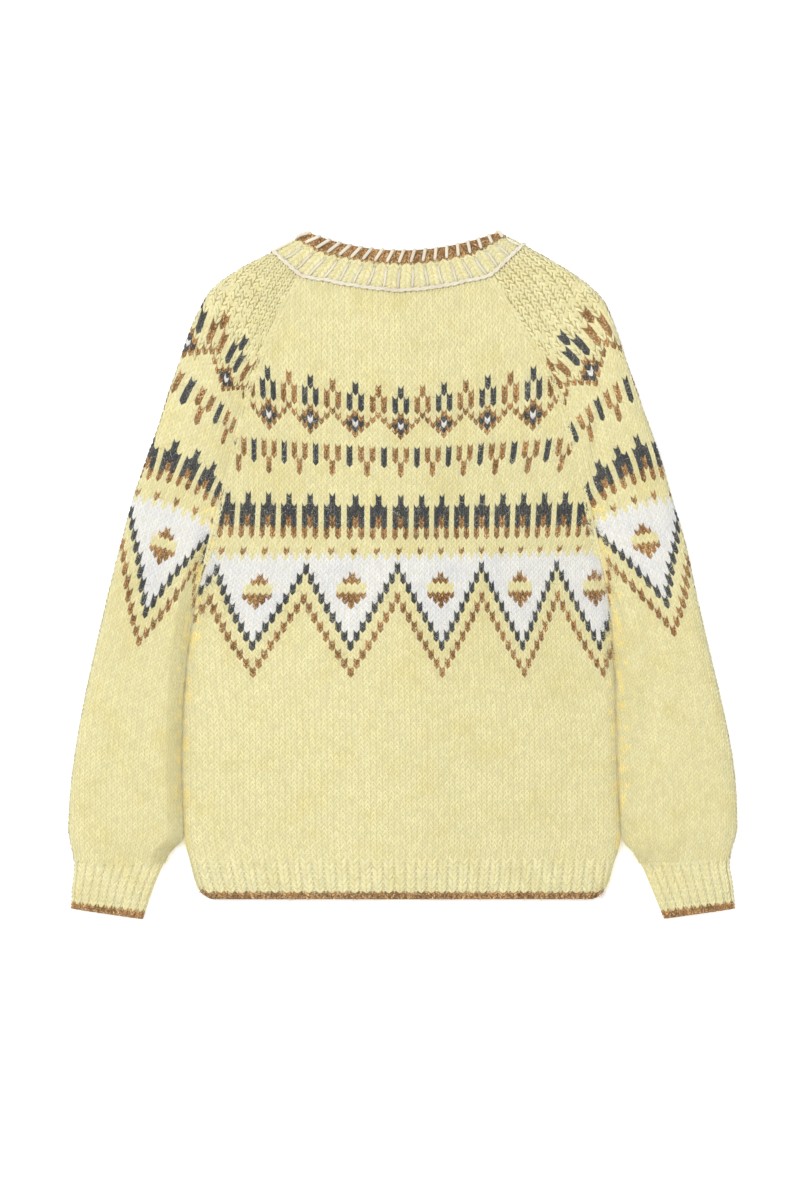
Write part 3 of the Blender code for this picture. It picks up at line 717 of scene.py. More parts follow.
def tube_line(outer, top_end, under_end, curl, height, plan_top, wale_of_share, crowding=1.0):
    """A row round a sleeve: under its flat side, round its outer fold and over its top.

    plan_top gives the top's plan points at shares from the outer fold to the seam, and
    wale_of_share the wale numbers there.
    """
    share = np.linspace(0.0, 1.0, PLAN_POINTS)
    plan = plan_top(share)
    along = arc_lengths(plan)
    length = along[-1]
    fold_width = min(FOLD_WIDTH, FOLD_SHARE * length)
    edge_width = min(FOLD_WIDTH, EDGE_SHARE * length)
    half = height / 2.0
    turn = np.linspace(math.pi / 2.0, 0.0, EDGE_POINTS)
    fold_d = fold_width * (1.0 - np.sin(turn))
    fold_z = half + half * np.cos(turn)
    edge_d, edge_z = edge_curve(curl, edge_width, height)

    def profile(total):
        flat = np.linspace(fold_width, total - edge_width, SLEEVE_POINTS)[1:-1]
        d = np.concatenate([fold_d, flat, total - edge_d])
        z = np.concatenate([fold_z, np.full(len(flat), height), edge_z])
        return d, z, arc_lengths(np.stack([d, z], -1))

    d, z, arc = profile(length)
    top = np.column_stack([points_at(d, along, plan), z])
    top[:, 2] -= valley_depth(top[:, 0], top[:, 1])
    plan_wales = wale_of_share(np.interp(d, along, share))
    first, last = EDGE_POINTS - 1, len(d) - EDGE_POINTS
    inward, outward = first + SPACING_POINTS, last - SPACING_POINTS
    out_spacing = (d[inward] - d[first]) / (plan_wales[inward] - plan_wales[first])
    in_spacing = crowding * (d[last] - d[outward]) / (plan_wales[last] - plan_wales[outward])
    wales = plan_wales.copy()
    wales[:first] = plan_wales[first] + (arc[:first] - arc[first]) / out_spacing
    wales[last:] = plan_wales[last] + (arc[last:] - arc[last]) / in_spacing

    way = under_end - outer
    under_length = float(np.hypot(*way))
    d, z, arc = profile(under_length)
    under = np.column_stack([outer + way * d[:, None] / under_length, height - z])
    under_wales = wales[0] - arc / out_spacing
    chord = top_end - outer
    up = np.array([-chord[1], chord[0], 0.0]) / np.hypot(*chord)
    return line_across(np.concatenate([under[:0:-1], top]),
                       np.concatenate([under_wales[:0:-1], wales]), up)


def sleeve_line(side, row):
    outer_y, seam_y, mark_x, mark_y, outer_wale, seam_wale = table_values(SLEEVE_ROWS[side], row)
    folds = [getattr(s, f"outer_{side}") for s in SECTIONS] + CUFF_OUTER[side]
    outer = np.array([x_on(folds, outer_y), outer_y])
    ends = []
    for y in (seam_y, front_heights(seam_y)[0]):
        end = np.array([x_on(seam_points(side) + CUFF_INNER[side], y), y])
        ends.append(end + (outer - end) / np.hypot(*(outer - end)) * SEAM_GAP / 2.0)
    top_end, under_end = ends
    mark = np.array([mark_x, mark_y])
    mark_share = (SLEEVE_MARK - outer_wale) / (seam_wale - outer_wale)

    def plan_top(share):
        share = share[:, None]
        at_outer = (share - mark_share) * (share - 1.0) / mark_share
        at_mark = share * (share - 1.0) / (mark_share * (mark_share - 1.0))
        at_seam = share * (share - mark_share) / (1.0 - mark_share)
        return outer * at_outer + mark * at_mark + top_end * at_seam

    def wale_of_share(share):
        return outer_wale + (seam_wale - outer_wale) * share

    narrow = float(smooth((CUFF_START_Y - outer_y) / CUFF_NARROWING))
    height = LAID_HEIGHT + (CUFF_HEIGHT - LAID_HEIGHT) * narrow
    first, last = CROWDED_ROWS
    crowding = 1.0 + (CROWDING[side] - 1.0) * float(smooth((row - first) / (last - first)))
    return tube_line(outer, top_end, under_end, curl_at(seam_y), height, plan_top, wale_of_share,
                     crowding)


def cuff_line(side, row):
    """A row of a cuff, whose wales are counted from 0 under the inner edge to CUFF_WALES."""
    down = np.interp(row, [0, CUFF_ROWS - BROWN_EDGE_ROWS, CUFF_ROWS], [0.0, CUFF_PLAIN_SHARE, 1.0])
    corners = []
    for edge in (CUFF_OUTER[side], CUFF_INNER[side]):
        y = np.interp(down, [0, 1], [edge[1][1], edge[-1][1]])
        corners.append(np.array([x_on(edge, y), y]))
    outer, inner = corners

    def plan_top(share):
        return outer + (inner - outer) * share[:, None]

    line = tube_line(outer, inner, inner, 1.0, CUFF_HEIGHT, plan_top,
                     lambda share: share * CUFF_WALES / 2.0)
    arc = arc_lengths(line.points)
    return line._replace(wales=arc / arc[-1] * CUFF_WALES)


class Cloth:
    """The outer side of a panel: places and normals by row and wale, from its rows as lines."""

    def __init__(self, lines, wall=WALL):
        self.wall = wall
        self.rows = len(lines) - 1
        self.ends = np.array([[line.wales[0], line.wales[-1]] for line in lines])
        self.low = math.floor(self.ends[:, 0].min()) - 1
        high = math.ceil(self.ends[:, 1].max()) + 1
        wales = np.arange(self.low * FINE, high * FINE + 1) / FINE
        self.places = np.stack([points_at(wales, line.wales, line.points) for line in lines])
        self.normals = np.stack([points_at(wales, line.wales, line.normals) for line in lines])
        row, wale = float(len(lines) // 2), self.ends[len(lines) // 2].mean()
        place, normal = self.at(np.array([row, row + 1.0, row]), np.array([wale, wale, wale + 1.0]))
        turn = np.dot(np.cross(place[2] - place[0], place[1] - place[0]), normal[0])
        self.mirrored = turn < 0.0

    def at(self, rows, wales):
        rows, wales = np.broadcast_arrays(rows, wales)
        r = np.clip(rows, 0.0, self.rows - ROW_EASE)
        c = np.clip((wales - self.low) * FINE, 0.0, self.places.shape[1] - 1 - POINT_EASE)
        i, j = r.astype(int), c.astype(int)
        u, v = (r - i)[..., None], (c - j)[..., None]

        def mix(grid):
            upper = grid[i, j] * (1.0 - v) + grid[i, j + 1] * v
            lower = grid[i + 1, j] * (1.0 - v) + grid[i + 1, j + 1] * v
            return upper * (1.0 - u) + lower * u

        return mix(self.places), mix(self.normals)

    def ends_at(self, rows):
        index = np.arange(self.rows + 1)
        return np.interp(rows, index, self.ends[:, 0]), np.interp(rows, index, self.ends[:, 1])

    def sheet_size(self):
        """The greatest width, the greatest length and the area of its outer side, in metres."""
        index = np.arange(self.rows + 1.0)
        low, high = self.ends_at(index)
        share = np.linspace(0.0, 1.0, SHEET_POINTS)
        place, _ = self.at(index[:, None], low[:, None] + (high - low)[:, None] * share)
        place = place * MM
        across, down = np.diff(place, axis=1), np.diff(place, axis=0)
        width = np.linalg.norm(across, axis=-1).sum(axis=1).max()
        length = np.linalg.norm(down, axis=-1).sum(axis=0).max()
        cells = np.linalg.norm(np.cross(down[:, :-1], across[1:]), axis=-1)
        return float(width), float(length), min(float(cells.sum()), float(width * length))


def yarn_number(letter):
    return YARNS.index(letter)


def yellow(row, wale):
    return yarn_number("y")


def yoke_yarn(row, wale):
    """The yarn of one stitch of body or sleeve, by the charts."""
    row, wale = int(row), int(wale)
    for first, chart in CHARTS:
        if first <= row < first + len(chart):
            line = chart[row - first]
            return yarn_number(line[wale % len(line)])
    step = row - ZIGZAG_ROW
    if 0 <= step < ZIGZAG_LINE * ZIGZAG_STEPS + BROWN_LINE_DROP:
        half = ZIGZAG_REPEAT // 2
        from_apex = abs((wale + half) % ZIGZAG_REPEAT - half)
        below = step - ZIGZAG_LINE * from_apex
        reach, letter = LOZENGE.get(step, (-1, "y"))
        if half - from_apex <= reach:
            return yarn_number(letter)
        if below < 0:
            return yarn_number("w")
        if below < ZIGZAG_LINE:
            return yarn_number("d")
        if BROWN_LINE_DROP <= below < BROWN_LINE_DROP + ZIGZAG_LINE:
            return yarn_number("b")
    return yarn_number("y")


def brown_from(first, before=yellow):
    """The yarns of a panel that is brown from row first on, and before that as before says."""
    def pick(row, wale):
        return yarn_number("b") if row >= first else before(row, wale)
    return pick


def scatter(row, wale):
    """A number from 0 to 1 for a stitch, which looks random."""
    size, by_row, by_wale = SCATTER
    return size * math.sin(by_row * row + by_wale * wale) % 1.0


def painted_warm_shade_yarn(cloth, yarns, wales):
    """The same yarns, but golden instead of yellow in the creases between sleeves and body: painted warm
    shade, for light bounced between the yellow walls.
    """
    def pick(row, wale):
        yarn = yarns(row, wale)
        low, high = cloth.ends_at(row + 0.5)
        near = min(wale - low, high - wale)
        warm = WARM_SHADE_ROWS[0] <= row < WARM_SHADE_ROWS[1] and near < wales * scatter(row, wale)
        return PAINTED_WARM_SHADE if warm and yarn == yarn_number("y") else yarn
    return pick


def gap_shaded_yarn(row, wale):
    """The yarn of the sleeves' cloth under the stitches, painted dark near the neck as shade in the gaps
    between the stitches.
    """
    yarn = yoke_yarn(row, wale)
    gap = scatter(row, wale) < 1.0 - (row / GAP_SHADE_ROWS) ** 2
    return PAINTED_GAP_SHADE if gap and yarn == yarn_number("y") else yarn


def joined(parts):
    """Several (vertices, triangles, finish numbers) as one."""
    vertices, triangles, finish_of, start = [], [], [], 0
    for points, faces, finish in parts:
        vertices.append(points)
        triangles.append(np.asarray(faces) + start)
        finish_of.append(np.broadcast_to(finish, len(faces)))
        start += len(points)
    return np.concatenate(vertices), np.concatenate(triangles), np.concatenate(finish_of)


def make_piece(name, parts, finishes=WOOLS):
    """A mesh from points in millimetres and triangles, riding on the garment."""
    vertices, triangles, finish_of = joined(parts)
    vertices[:, 2] = np.maximum(vertices[:, 2], FLOOR_CLEARANCE)
    data = bpy.data.meshes.new(name)
    data.from_pydata((vertices * MM).tolist(), [], triangles.tolist())
    for finish in finishes:
        data.materials.append(finish)
    data.polygons.foreach_set("material_index", finish_of.astype(np.int32))
    data.validate()
    data.shade_smooth()
    piece = bpy.data.objects.new(name, data)
    bpy.context.scene.collection.objects.link(piece)
    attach(piece, "root")
    return piece


def ground_heights(cloth, rows, wales, left, right, rib, filled_from):
    """How high the cloth under the stitches lies, at each row and wale of its points."""
    height = np.full(wales.shape, GROUND)
    if rib is not None:
        share = smooth((rows - rib.start) / RIB_ONSET)[:, None]
        wave = np.cos(np.pi * (wales - rib.knit))
        height = height + rib.depth * share * (0.5 * (RIB_LIFT - PURL_DROP) * (wave - 1.0) + RIB_LIFT)
    if filled_from is not None:
        near = np.minimum(wales - left[:, None], right[:, None] - wales)
        share = (1.0 - smooth(near / EDGE_FILL)) * smooth((rows - filled_from) / EDGE_FILL_ROWS)[:, None]
        height = height + share * (EDGE_HEIGHT - height)
    return np.maximum(height, LEAST_GROUND + INNER_EASE - cloth.wall)


def ground(name, cloth, yarns, rib=None, step=0.5, filled_from=None):
    """The closed cloth under the stitches. Each stitch has its own cells, pointed like a V. Its wools are
    the darkened copies, painted shade where it shows between the stitches.
    """
    low, high = math.floor(cloth.ends[:, 0].min()), math.ceil(cloth.ends[:, 1].max())
    borders = np.arange(low - 0.5, high + 0.5 + step / 2.0, step)
    rows = np.arange(cloth.rows + 1, dtype=float)
    left, right = cloth.ends_at(rows)
    first = np.clip(np.searchsorted(borders, left, side="right") - 1, 0, None)
    last = np.clip(np.searchsorted(borders, right, side="left"), None, len(borders) - 1)
    held = np.clip(np.arange(len(borders))[None, :], first[:, None], last[:, None])
    wales = np.clip(borders[held], left[:, None], right[:, None])
    inside = (rows > 0.0) & (rows < cloth.rows)
    chevron = CHEVRON * np.cos(2.0 * np.pi * wales) * inside[:, None]
    place, normal = cloth.at(rows[:, None] + chevron, wales)
    outer = place + normal * ground_heights(cloth, rows, wales, left, right, rib, filled_from)[..., None]
    inner = place - normal * (cloth.wall - INNER_EASE)
    points = np.concatenate([outer.reshape(-1, 3), inner.reshape(-1, 3)])
    count = len(points) // 2

    number = np.arange(len(rows))[:, None] * len(borders) + held
    cells = np.stack([number[:-1, :-1], number[:-1, 1:], number[1:, 1:], number[1:, :-1]], -1)
    cells = cells.reshape(-1, 4)
    centres = (borders[1:] + borders[:-1]) / 2.0
    shades = np.array([[yarns(r, round(w)) for w in centres] for r in range(cloth.rows)]).ravel()
    triangles, finish_of = [], []
    for corners in ((0, 1, 2), (0, 2, 3)):
        face = cells[:, corners]
        good = (face[:, 0] != face[:, 1]) & (face[:, 1] != face[:, 2]) & (face[:, 0] != face[:, 2])
        triangles.append(face[good])
        finish_of.append(shades[good])
    top, top_finish = np.concatenate(triangles), np.concatenate(finish_of)

    index = np.arange(len(rows))
    rim_left, rim_right = number[index, first], number[index, last]
    loop = list(rim_left) + list(number[-1]) + list(rim_right[::-1]) + list(number[0][::-1])
    rim = np.array([n for n, after in zip(loop, loop[1:] + loop[:1]) if n != after])
    after = np.roll(rim, -1)
    sides = np.concatenate([np.stack(corners, -1) for corners in (
        (rim, after, after + count), (rim, after + count, rim + count))])
    faces = np.concatenate([top, top[:, ::-1] + count, sides])
    if not cloth.mirrored:
        faces = faces[:, ::-1]
    finish = np.concatenate([top_finish, top_finish, np.zeros(len(sides), int)])
    used, faces = np.unique(faces, return_inverse=True)
    # The darkened wools paint shade into the cloth between the stitches
    return make_piece(name, [(points[used], faces.reshape(-1, 3), finish)], PAINTED_SHADE_WOOLS)


def stitch_spots(cloth, first, last):
    """Rows and wales of all whole stitches of a panel between two rows."""
    rows = np.arange(first, last)
    low, high = cloth.ends_at(rows + 0.5)
    return np.array([(row, wale) for row, a, b in zip(rows, low, high)
                     for wale in range(math.ceil(a + STITCH_EASE), math.floor(b - STITCH_EASE) + 1)],
                    dtype=float)


def repeated(vertices, faces, shades):
    """The points of many copies of a shape, with the triangles and finish numbers of all."""
    starts = np.arange(len(vertices)) * vertices.shape[1]
    triangles = np.asarray(faces)[None] + starts[:, None, None]
    return vertices.reshape(-1, 3), triangles.reshape(-1, 3), np.repeat(shades, len(faces))


def laid(cloth, spots, shades, shape, mirror=1.0, lift=0.0, swell=1.0):
    """A shape's points, in wales, rows and millimetres, set on each spot of a cloth."""
    template, faces = np.asarray(shape[0]), np.asarray(shape[1])
    shift = random.normal(0.0, 1.0, (len(spots), 3)) * JITTER
    across = spots[:, 1, None] + mirror * swell * (template[:, 0] + shift[:, 0, None])
    down = spots[:, 0, None] + 0.5 + template[:, 1] + shift[:, 1, None]
    buried = template[:, 2] <= SUNK
    height = template[:, 2] + np.where(buried, 0.0, shift[:, 2, None]) + lift
    place, normal = cloth.at(down, across)
    if (mirror > 0.0) != cloth.mirrored:
        faces = faces[:, ::-1]
    return repeated(place + normal * height[..., None], faces, shades)


def knit_parts(cloth, spots, yarns, shape, lift=0.0, swell=1.0):
    """Both legs of each stitch."""
    shades = np.array([yarns(row, wale) for row, wale in spots])
    return [laid(cloth, spots, shades, shape, mirror, lift, swell) for mirror in (1.0, -1.0)]


def rib_parts(cloth, first, last, yarns, shape, rib):
    """A one by one rib: raised wales of legs between sunken wales of purl bumps."""
    spots = stitch_spots(cloth, first, last)
    raised = (spots[:, 1] - rib.knit) % 2 == 0
    shades = np.array([yarns(row, wale) for row, wale in spots[~raised]])
    return knit_parts(cloth, spots[raised], yarns, shape, rib.depth * RIB_LIFT, RIB_SWELL) + [
        laid(cloth, spots[~raised], shades, PURL_BUMP, 1.0, rib.depth * PURL_DROP)]


def hairs(cloth, spots, yarns, count):
    """Loose fibres of the brushed wool that lie on the cloth, as thin strips in two lengths."""
    picked = spots[random.integers(0, len(spots), count)]
    shades = np.array([yarns(row, wale) for row, wale in picked])
    place, normal = cloth.at(picked[:, 0] + random.uniform(0.0, 1.0, count),
                             picked[:, 1] + random.uniform(-0.5, 0.5, count))
    way = random.normal(0.0, 1.0, (count, 3))
    way -= normal * (way * normal).sum(axis=1, keepdims=True)
    way = unit(way)
    side = np.cross(normal, way)
    length = random.uniform(*HAIR_LENGTH, (count, 1))
    bend = random.normal(0.0, HAIR_BEND, (count, 1))
    rise = random.uniform(*HAIR_RISE, (count, 1))
    points = []
    for share in (0.0, 0.5, 1.0):
        spine = place + way * length * share + side * length * bend * share ** 2
        spine = spine + normal * (rise * share - HAIR_ROOT * (1.0 - share))
        half = side * HAIR_WIDTH / 2.0 * (1.0 - HAIR_TAPER * share)
        points += [spine - half, spine + half]
    return repeated(np.stack(points, 1), [(0, 2, 3), (0, 3, 1), (2, 4, 5), (2, 5, 3)], shades)


def crease_hairs(cloth, yarns, ends):
    """Fibres along the rolled edges below the underarm, where sleeve and body touch."""
    rows = np.arange(UNDERARM_ROW, cloth.rows)
    low, high = cloth.ends_at(rows + 0.5)
    spots = np.concatenate([np.column_stack([rows, wales]) for wales in
                            [(low + CREASE_INSET, high - CREASE_INSET)[end] for end in ends]])
    return hairs(cloth, np.round(spots), yarns, CREASE_HAIRS * len(ends))


def tube(path, radius, finish=0, sides=6, end=0.3, steep=0.9):
    """A round yarn along a path of points in millimetres, whose ends narrow to a share of its width.

    Where the path is steep, its sides are turned by another guide.
    """
    path = np.asarray(path, float)
    tangents = unit(np.gradient(path, axis=0))
    guide = np.where(np.abs(tangents[:, 2:3]) > steep, [[0.0, 1.0, 0.0]], [[0.0, 0.0, 1.0]])
    u = unit(np.cross(tangents, guide))
    v = np.cross(u, tangents)
    turn = np.arange(sides) / sides * 2.0 * np.pi
    radii = np.full(len(path), radius)
    radii[[0, -1]] = radius * end
    ring = u[:, None] * np.cos(turn)[:, None] + v[:, None] * np.sin(turn)[:, None]
    vertices = (path[:, None] + ring * radii[:, None, None]).reshape(-1, 3)
    faces = []
    for row in range(len(path) - 1):
        for k in range(sides):
            a, b = row * sides + k, row * sides + (k + 1) % sides
            faces += [(a, b, b + sides), (a, b + sides, a + sides)]
    last = (len(path) - 1) * sides
    faces += [(0, k + 1, k) for k in range(1, sides - 1)]
    faces += [(last, last + k, last + k + 1) for k in range(1, sides - 1)]
    return vertices, np.array(faces), finish


def neck_rim():
    """The rim of the panels round the neck, from the left front round the back to the right one.

    It gives places, normals and the numbers of the points at the left fold, the middle and the
    right fold.
    """
    lines = [front_line("left", BUTTON_BAND_Z, 0.0), sleeve_line("left", 0.0), back_line(0.0),
             sleeve_line("right", 0.0), front_line("right", HOLE_BAND_Z, 0.0)]
    ways = (-1, 1, 1, -1, -1)
    points = [line.points[::way] for line, way in zip(lines, ways)]
    normals = [line.normals[::way] for line, way in zip(lines, ways)]
    starts = np.cumsum([0] + [len(p) for p in points])
    left, middle, right = (points[i][:, 0] for i in (1, 2, 3))
    marks = (starts[1] + int(np.argmin(left)), starts[2] + int(np.argmin(np.abs(middle))),
             starts[3] + int(np.argmax(right)))
    return np.concatenate(points), np.concatenate(normals), marks


def neck_top(places, marks):
    """The free edge of the neckband in plan, at shares of the way round the neck seam."""
    left_fold, middle, right_fold = marks
    top = np.empty((len(places), 2))
    for i, place in enumerate(places):
        left = place < middle
        corner = NECK_TOP["left" if left else "right"]
        if left_fold <= place <= right_fold:
            reach = (place - middle) / ((left_fold if left else right_fold) - middle)
            top[i] = (NECK_TOP_BACK[0] + (corner[0] - NECK_TOP_BACK[0]) * reach,
                      NECK_TOP_BACK[1] + (corner[1] - NECK_TOP_BACK[1]) * reach ** 2)
        else:
            reach = place / left_fold if left else (1.0 - place) / (1.0 - right_fold)
            start_x = math.copysign(BAND_WIDTH / 2.0 + SEAM_GAP, corner[0])
            turn = reach * math.pi / 2.0
            top[i] = (start_x + (corner[0] - start_x) * math.sin(turn),
                      NECK_TOP_FRONT_Y + (corner[1] - NECK_TOP_FRONT_Y) * (1.0 - math.cos(turn)))
    return top


def neckband_lines():
    """The rows of the neckband, from its seam to its free edge."""
    points, normals, fold_points = neck_rim()
    middles = points - normals * WALL / 2.0
    arc = arc_lengths(middles)
    places = arc / arc[-1]
    top = neck_top(places, [places[i] for i in fold_points])
    step = np.pad(unit(top - middles[:, :2]) * SEAM_GAP, ((0, 0), (0, 1)))
    half = LAID_HEIGHT / 2.0
    z = np.where(middles[:, 2] < half, middles[:, 2], half + (middles[:, 2] - half) * NECK_DROOP)
    seam_row = points + step
    top_row = np.column_stack([top, z]) + normals * WALL / 2.0
    lines = []
    for row in range(NECK_ROWS + 1):
        line = seam_row + (top_row - seam_row) * row / NECK_ROWS
        arc = arc_lengths(line)
        lines.append(Line(line, arc / arc[-1] * NECK_WALES, normals))
    return lines


def band_lines(z):
    """A front band as rows of stitches from the neck down, each across its width."""
    x = np.linspace(-BAND_WIDTH / 2.0, BAND_WIDTH / 2.0, BAND_POINTS)
    wales = (x / BAND_WIDTH + 0.5) * BAND_WALES
    lines = []
    for y in np.linspace(NECK_TOP_FRONT_Y, HEM["left"][-1][1], BAND_ROWS + 1):
        points = np.column_stack([x, np.full(len(x), y), np.full(len(x), z)])
        lines.append(Line(points, wales, np.tile([0.0, 0.0, -1.0], (len(x), 1))))
    return lines


def evenly_along(points, spacing):
    """Evenly spaced points and directions along a line of points."""
    arc = arc_lengths(points)
    at = np.linspace(0.0, arc[-1], max(2, int(arc[-1] / spacing)))
    place = points_at(at, arc, points)
    return place, unit(np.gradient(place, axis=0))


def seam_cloth(side):
    """The strip of stitches that hides a raglan seam, as rows from the neck to the underarm."""
    points = [p for p in seam_points(side) if p[1] >= SEAM_END_Y]
    plan = np.column_stack([np.array(points), np.full(len(points), LAID_HEIGHT + SEAM_RAISE)])
    place, way = evenly_along(plan, SEAM_STITCH)
    across = np.column_stack([-way[:, 1], way[:, 0], np.zeros(len(way))])
    across = np.where(across[:, :1] < 0.0, -across, across)
    lines = []
    for centre, out in zip(place, across):
        line = centre + out * np.linspace(-SEAM_HALF, SEAM_HALF, SEAM_POINTS)[:, None]
        wales = np.linspace(-0.5, 0.5, SEAM_POINTS)
        lines.append(Line(line, wales, np.tile([0.0, 0.0, 1.0], (SEAM_POINTS, 1))))
    return Cloth(lines, SEAM_WALL)


def lay_flat(cloth, pieces):
    """Works out a cloth's width, length and area, and does nothing more with them."""
    width, length, area = cloth.sheet_size()


def make_body(node, cloth, shape, borders, hair_count):
    """The back, knitted of full legs, or a front of light ones, with coarser cloth and bare creases."""
    fine = shape is FULL_LEG
    yarns = brown_from(LAST_ROW - BROWN_EDGE_ROWS, yoke_yarn)
    # Stitches, cloth and fibres beside the creases turn golden: painted warm shade
    yarns = painted_warm_shade_yarn(cloth, yarns, BODY_WARM_SHADE_WALES)
    base = ground(f"{node}_cloth", cloth, yarns, HEM_RIB, 0.5 if fine else 1.0, UNDERARM_ROW)
    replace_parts(base, node)
    pieces = []
    for index, (first, last) in enumerate(zip(borders, borders[1:])):
        parts = knit_parts(cloth, stitch_spots(cloth, first, last), yarns, shape)
        pieces.append(make_piece(f"{node}_stitches_{index + 1}", parts))
    parts = rib_parts(cloth, RIB_ROW, LAST_ROW, yarns, shape, HEM_RIB)
    pieces.append(make_piece(f"{node}_hem", parts))
    strands = [hairs(cloth, stitch_spots(cloth, 0, LAST_ROW), yarns, hair_count)]
    if fine:
        strands.append(crease_hairs(cloth, yarns, (0, 1)))
    pieces.append(make_piece(f"{node}_nap", strands))
    lay_flat(cloth, pieces)


def make_sleeve(side):
    node = f"sleeve_{side}"
    cloth = Cloth([sleeve_line(side, row) for row in range(CUFF_ROW + 1)])
    # The sleeve's cloth is painted dark in the gaps near the neck, and beside the crease cloth, stitches
    # and fibres turn golden: painted shade and painted warm shade
    yarns, shaded_ground_yarns = (painted_warm_shade_yarn(cloth, plain, SLEEVE_WARM_SHADE_WALES)
                         for plain in (yoke_yarn, gap_shaded_yarn))
    base = ground(f"{node}_cloth", cloth, shaded_ground_yarns, filled_from=UNDERARM_ROW)
    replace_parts(base, node)
    spots = stitch_spots(cloth, 0, CUFF_ROW)
    _, normal = cloth.at(spots[:, 0] + 0.5, spots[:, 1])
    seen = normal[:, 2] > SEEN_SLOPE
    parts = knit_parts(cloth, spots[seen], yarns, FULL_LEG)
    parts += knit_parts(cloth, spots[~seen], yarns, LIGHT_LEG)
    strands = [hairs(cloth, spots, yarns, SLEEVE_HAIRS), crease_hairs(cloth, yarns, (1,))]
    pieces = [make_piece(f"{node}_stitches", parts), make_piece(f"{node}_nap", strands)]
    cuff = Cloth([cuff_line(side, row) for row in range(CUFF_ROWS + 1)])
    cuff_yarn = brown_from(CUFF_ROWS - BROWN_EDGE_ROWS)
    rib = rib_parts(cuff, 0, CUFF_ROWS, cuff_yarn, FULL_LEG, TRIM_RIB)
    pieces += [ground(f"{node}_cuff", cuff, cuff_yarn, TRIM_RIB),
               make_piece(f"{node}_cuff_rib", rib)]
    lay_flat(cloth, pieces)


def seam_cord(cloth):
    """The two plied strands over the neck seam, and the arms that rise from them into the rib."""
    parts = []
    turns = np.arange(0.0, NECK_WALES, CORD_STEP)
    wander = CORD_WANDER * sum(np.sin(turns * speed + phase) for speed, phase in CORD_WAVES)
    place, normal = cloth.at(wander, turns)
    down = unit(cloth.at(wander + 1.0, turns)[0] - place)
    for phase in (0.0, math.pi):
        twist = turns[:, None] * math.pi + phase
        rise = normal * (CORD_HEIGHT + CORD_WAVE * np.cos(twist))
        parts.append(tube(place + rise + down * CORD_SPREAD * np.sin(twist), CORD_RADIUS, CREAM))
    share = np.linspace(0.0, 1.0, ARM_POINTS)
    for wale in range(WHIP_EVERY, NECK_WALES, WHIP_EVERY):
        place, normal = cloth.at(share * ARM_ROWS, wale + ARM_BEND * np.sin(share * ARM_TURN + wale))
        parts.append(tube(place + normal * (ARM_FOOT - ARM_DROP * share)[:, None], ARM_RADIUS, CREAM))
    return parts


def whip_stitches(cloth):
    """Slanted stitches of cream yarn over the free edge of the neckband."""
    parts = []
    share = np.linspace(0.0, 1.0, WHIP_POINTS)
    arch_start, arch_span = WHIP_ARCH_SPAN
    arch = WHIP_FOOT + WHIP_ARCH * np.sin(np.pi * (arch_start + arch_span * share))
    for wale in range(WHIP_EVERY, NECK_WALES, WHIP_EVERY):
        lean = WHIP_LEAN * (1.0 + WHIP_LEAN_CHANGE * math.sin(WHIP_LEAN_TURN * wale))
        place, normal = cloth.at(NECK_ROWS - WHIP_ROWS * (1.0 - share), wale + lean * (share - 0.5))
        front = place + normal * arch[:, None]
        place, normal = cloth.at(np.full(len(WHIP_OVER_WALES), float(NECK_ROWS)),
                                 wale + lean * 0.5 + WHIP_OVER_WALES)
        over = place + normal * WHIP_OVER_HEIGHTS[:, None]
        parts.append(tube(np.concatenate([front, over]), WHIP_RADIUS, CREAM, WHIP_SIDES, WHIP_END))
    return parts


def make_neckband():
    cloth = Cloth(neckband_lines())
    yarns = brown_from(NECK_ROWS - NECK_BROWN_ROWS)
    base = ground("neckband_cloth", cloth, yarns, NECK_RIB)
    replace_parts(base, "neckband")
    parts = {"rib": rib_parts(cloth, 0, NECK_ROWS, yarns, FULL_LEG, NECK_RIB),
             "nap": [hairs(cloth, stitch_spots(cloth, 0, NECK_ROWS), yarns, NECK_HAIRS)],
             "seam_yarn": seam_cord(cloth),
             "edge_yarn": whip_stitches(cloth)}
    pieces = [make_piece(f"neckband_{name}", part) for name, part in parts.items()]
    lay_flat(cloth, pieces)


def make_band(node, z):
    cloth = Cloth(band_lines(z), BAND_WALL)
    base = ground(f"{node}_cloth", cloth, yellow, TRIM_RIB, 1.0)
    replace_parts(base, node)
    parts = rib_parts(cloth, 0, BAND_ROWS, yellow, LIGHT_LEG, TRIM_RIB)
    lay_flat(cloth, [make_piece(f"{node}_rib", parts)])


def make_seam(side):
    cloth = seam_cloth(side)
    spots = np.array([(row, 0) for row in range(cloth.rows)], dtype=float)
    ground(f"raglan_seam_{side}_cloth", cloth, yellow)
    make_piece(f"raglan_seam_{side}", knit_parts(cloth, spots, yellow, FULL_LEG))


def button_profile(radius):
    """Height of a button's face under its back plane, by distance from its middle."""
    rim = BUTTON_RADIUS - BUTTON_RIM
    dish = BUTTON_HEIGHT - BUTTON_DISH * (1.0 - smooth((radius - rim) / BUTTON_EASE))
    return dish - BUTTON_EDGE * smooth((radius - BUTTON_RADIUS + BUTTON_EASE) / BUTTON_EASE)


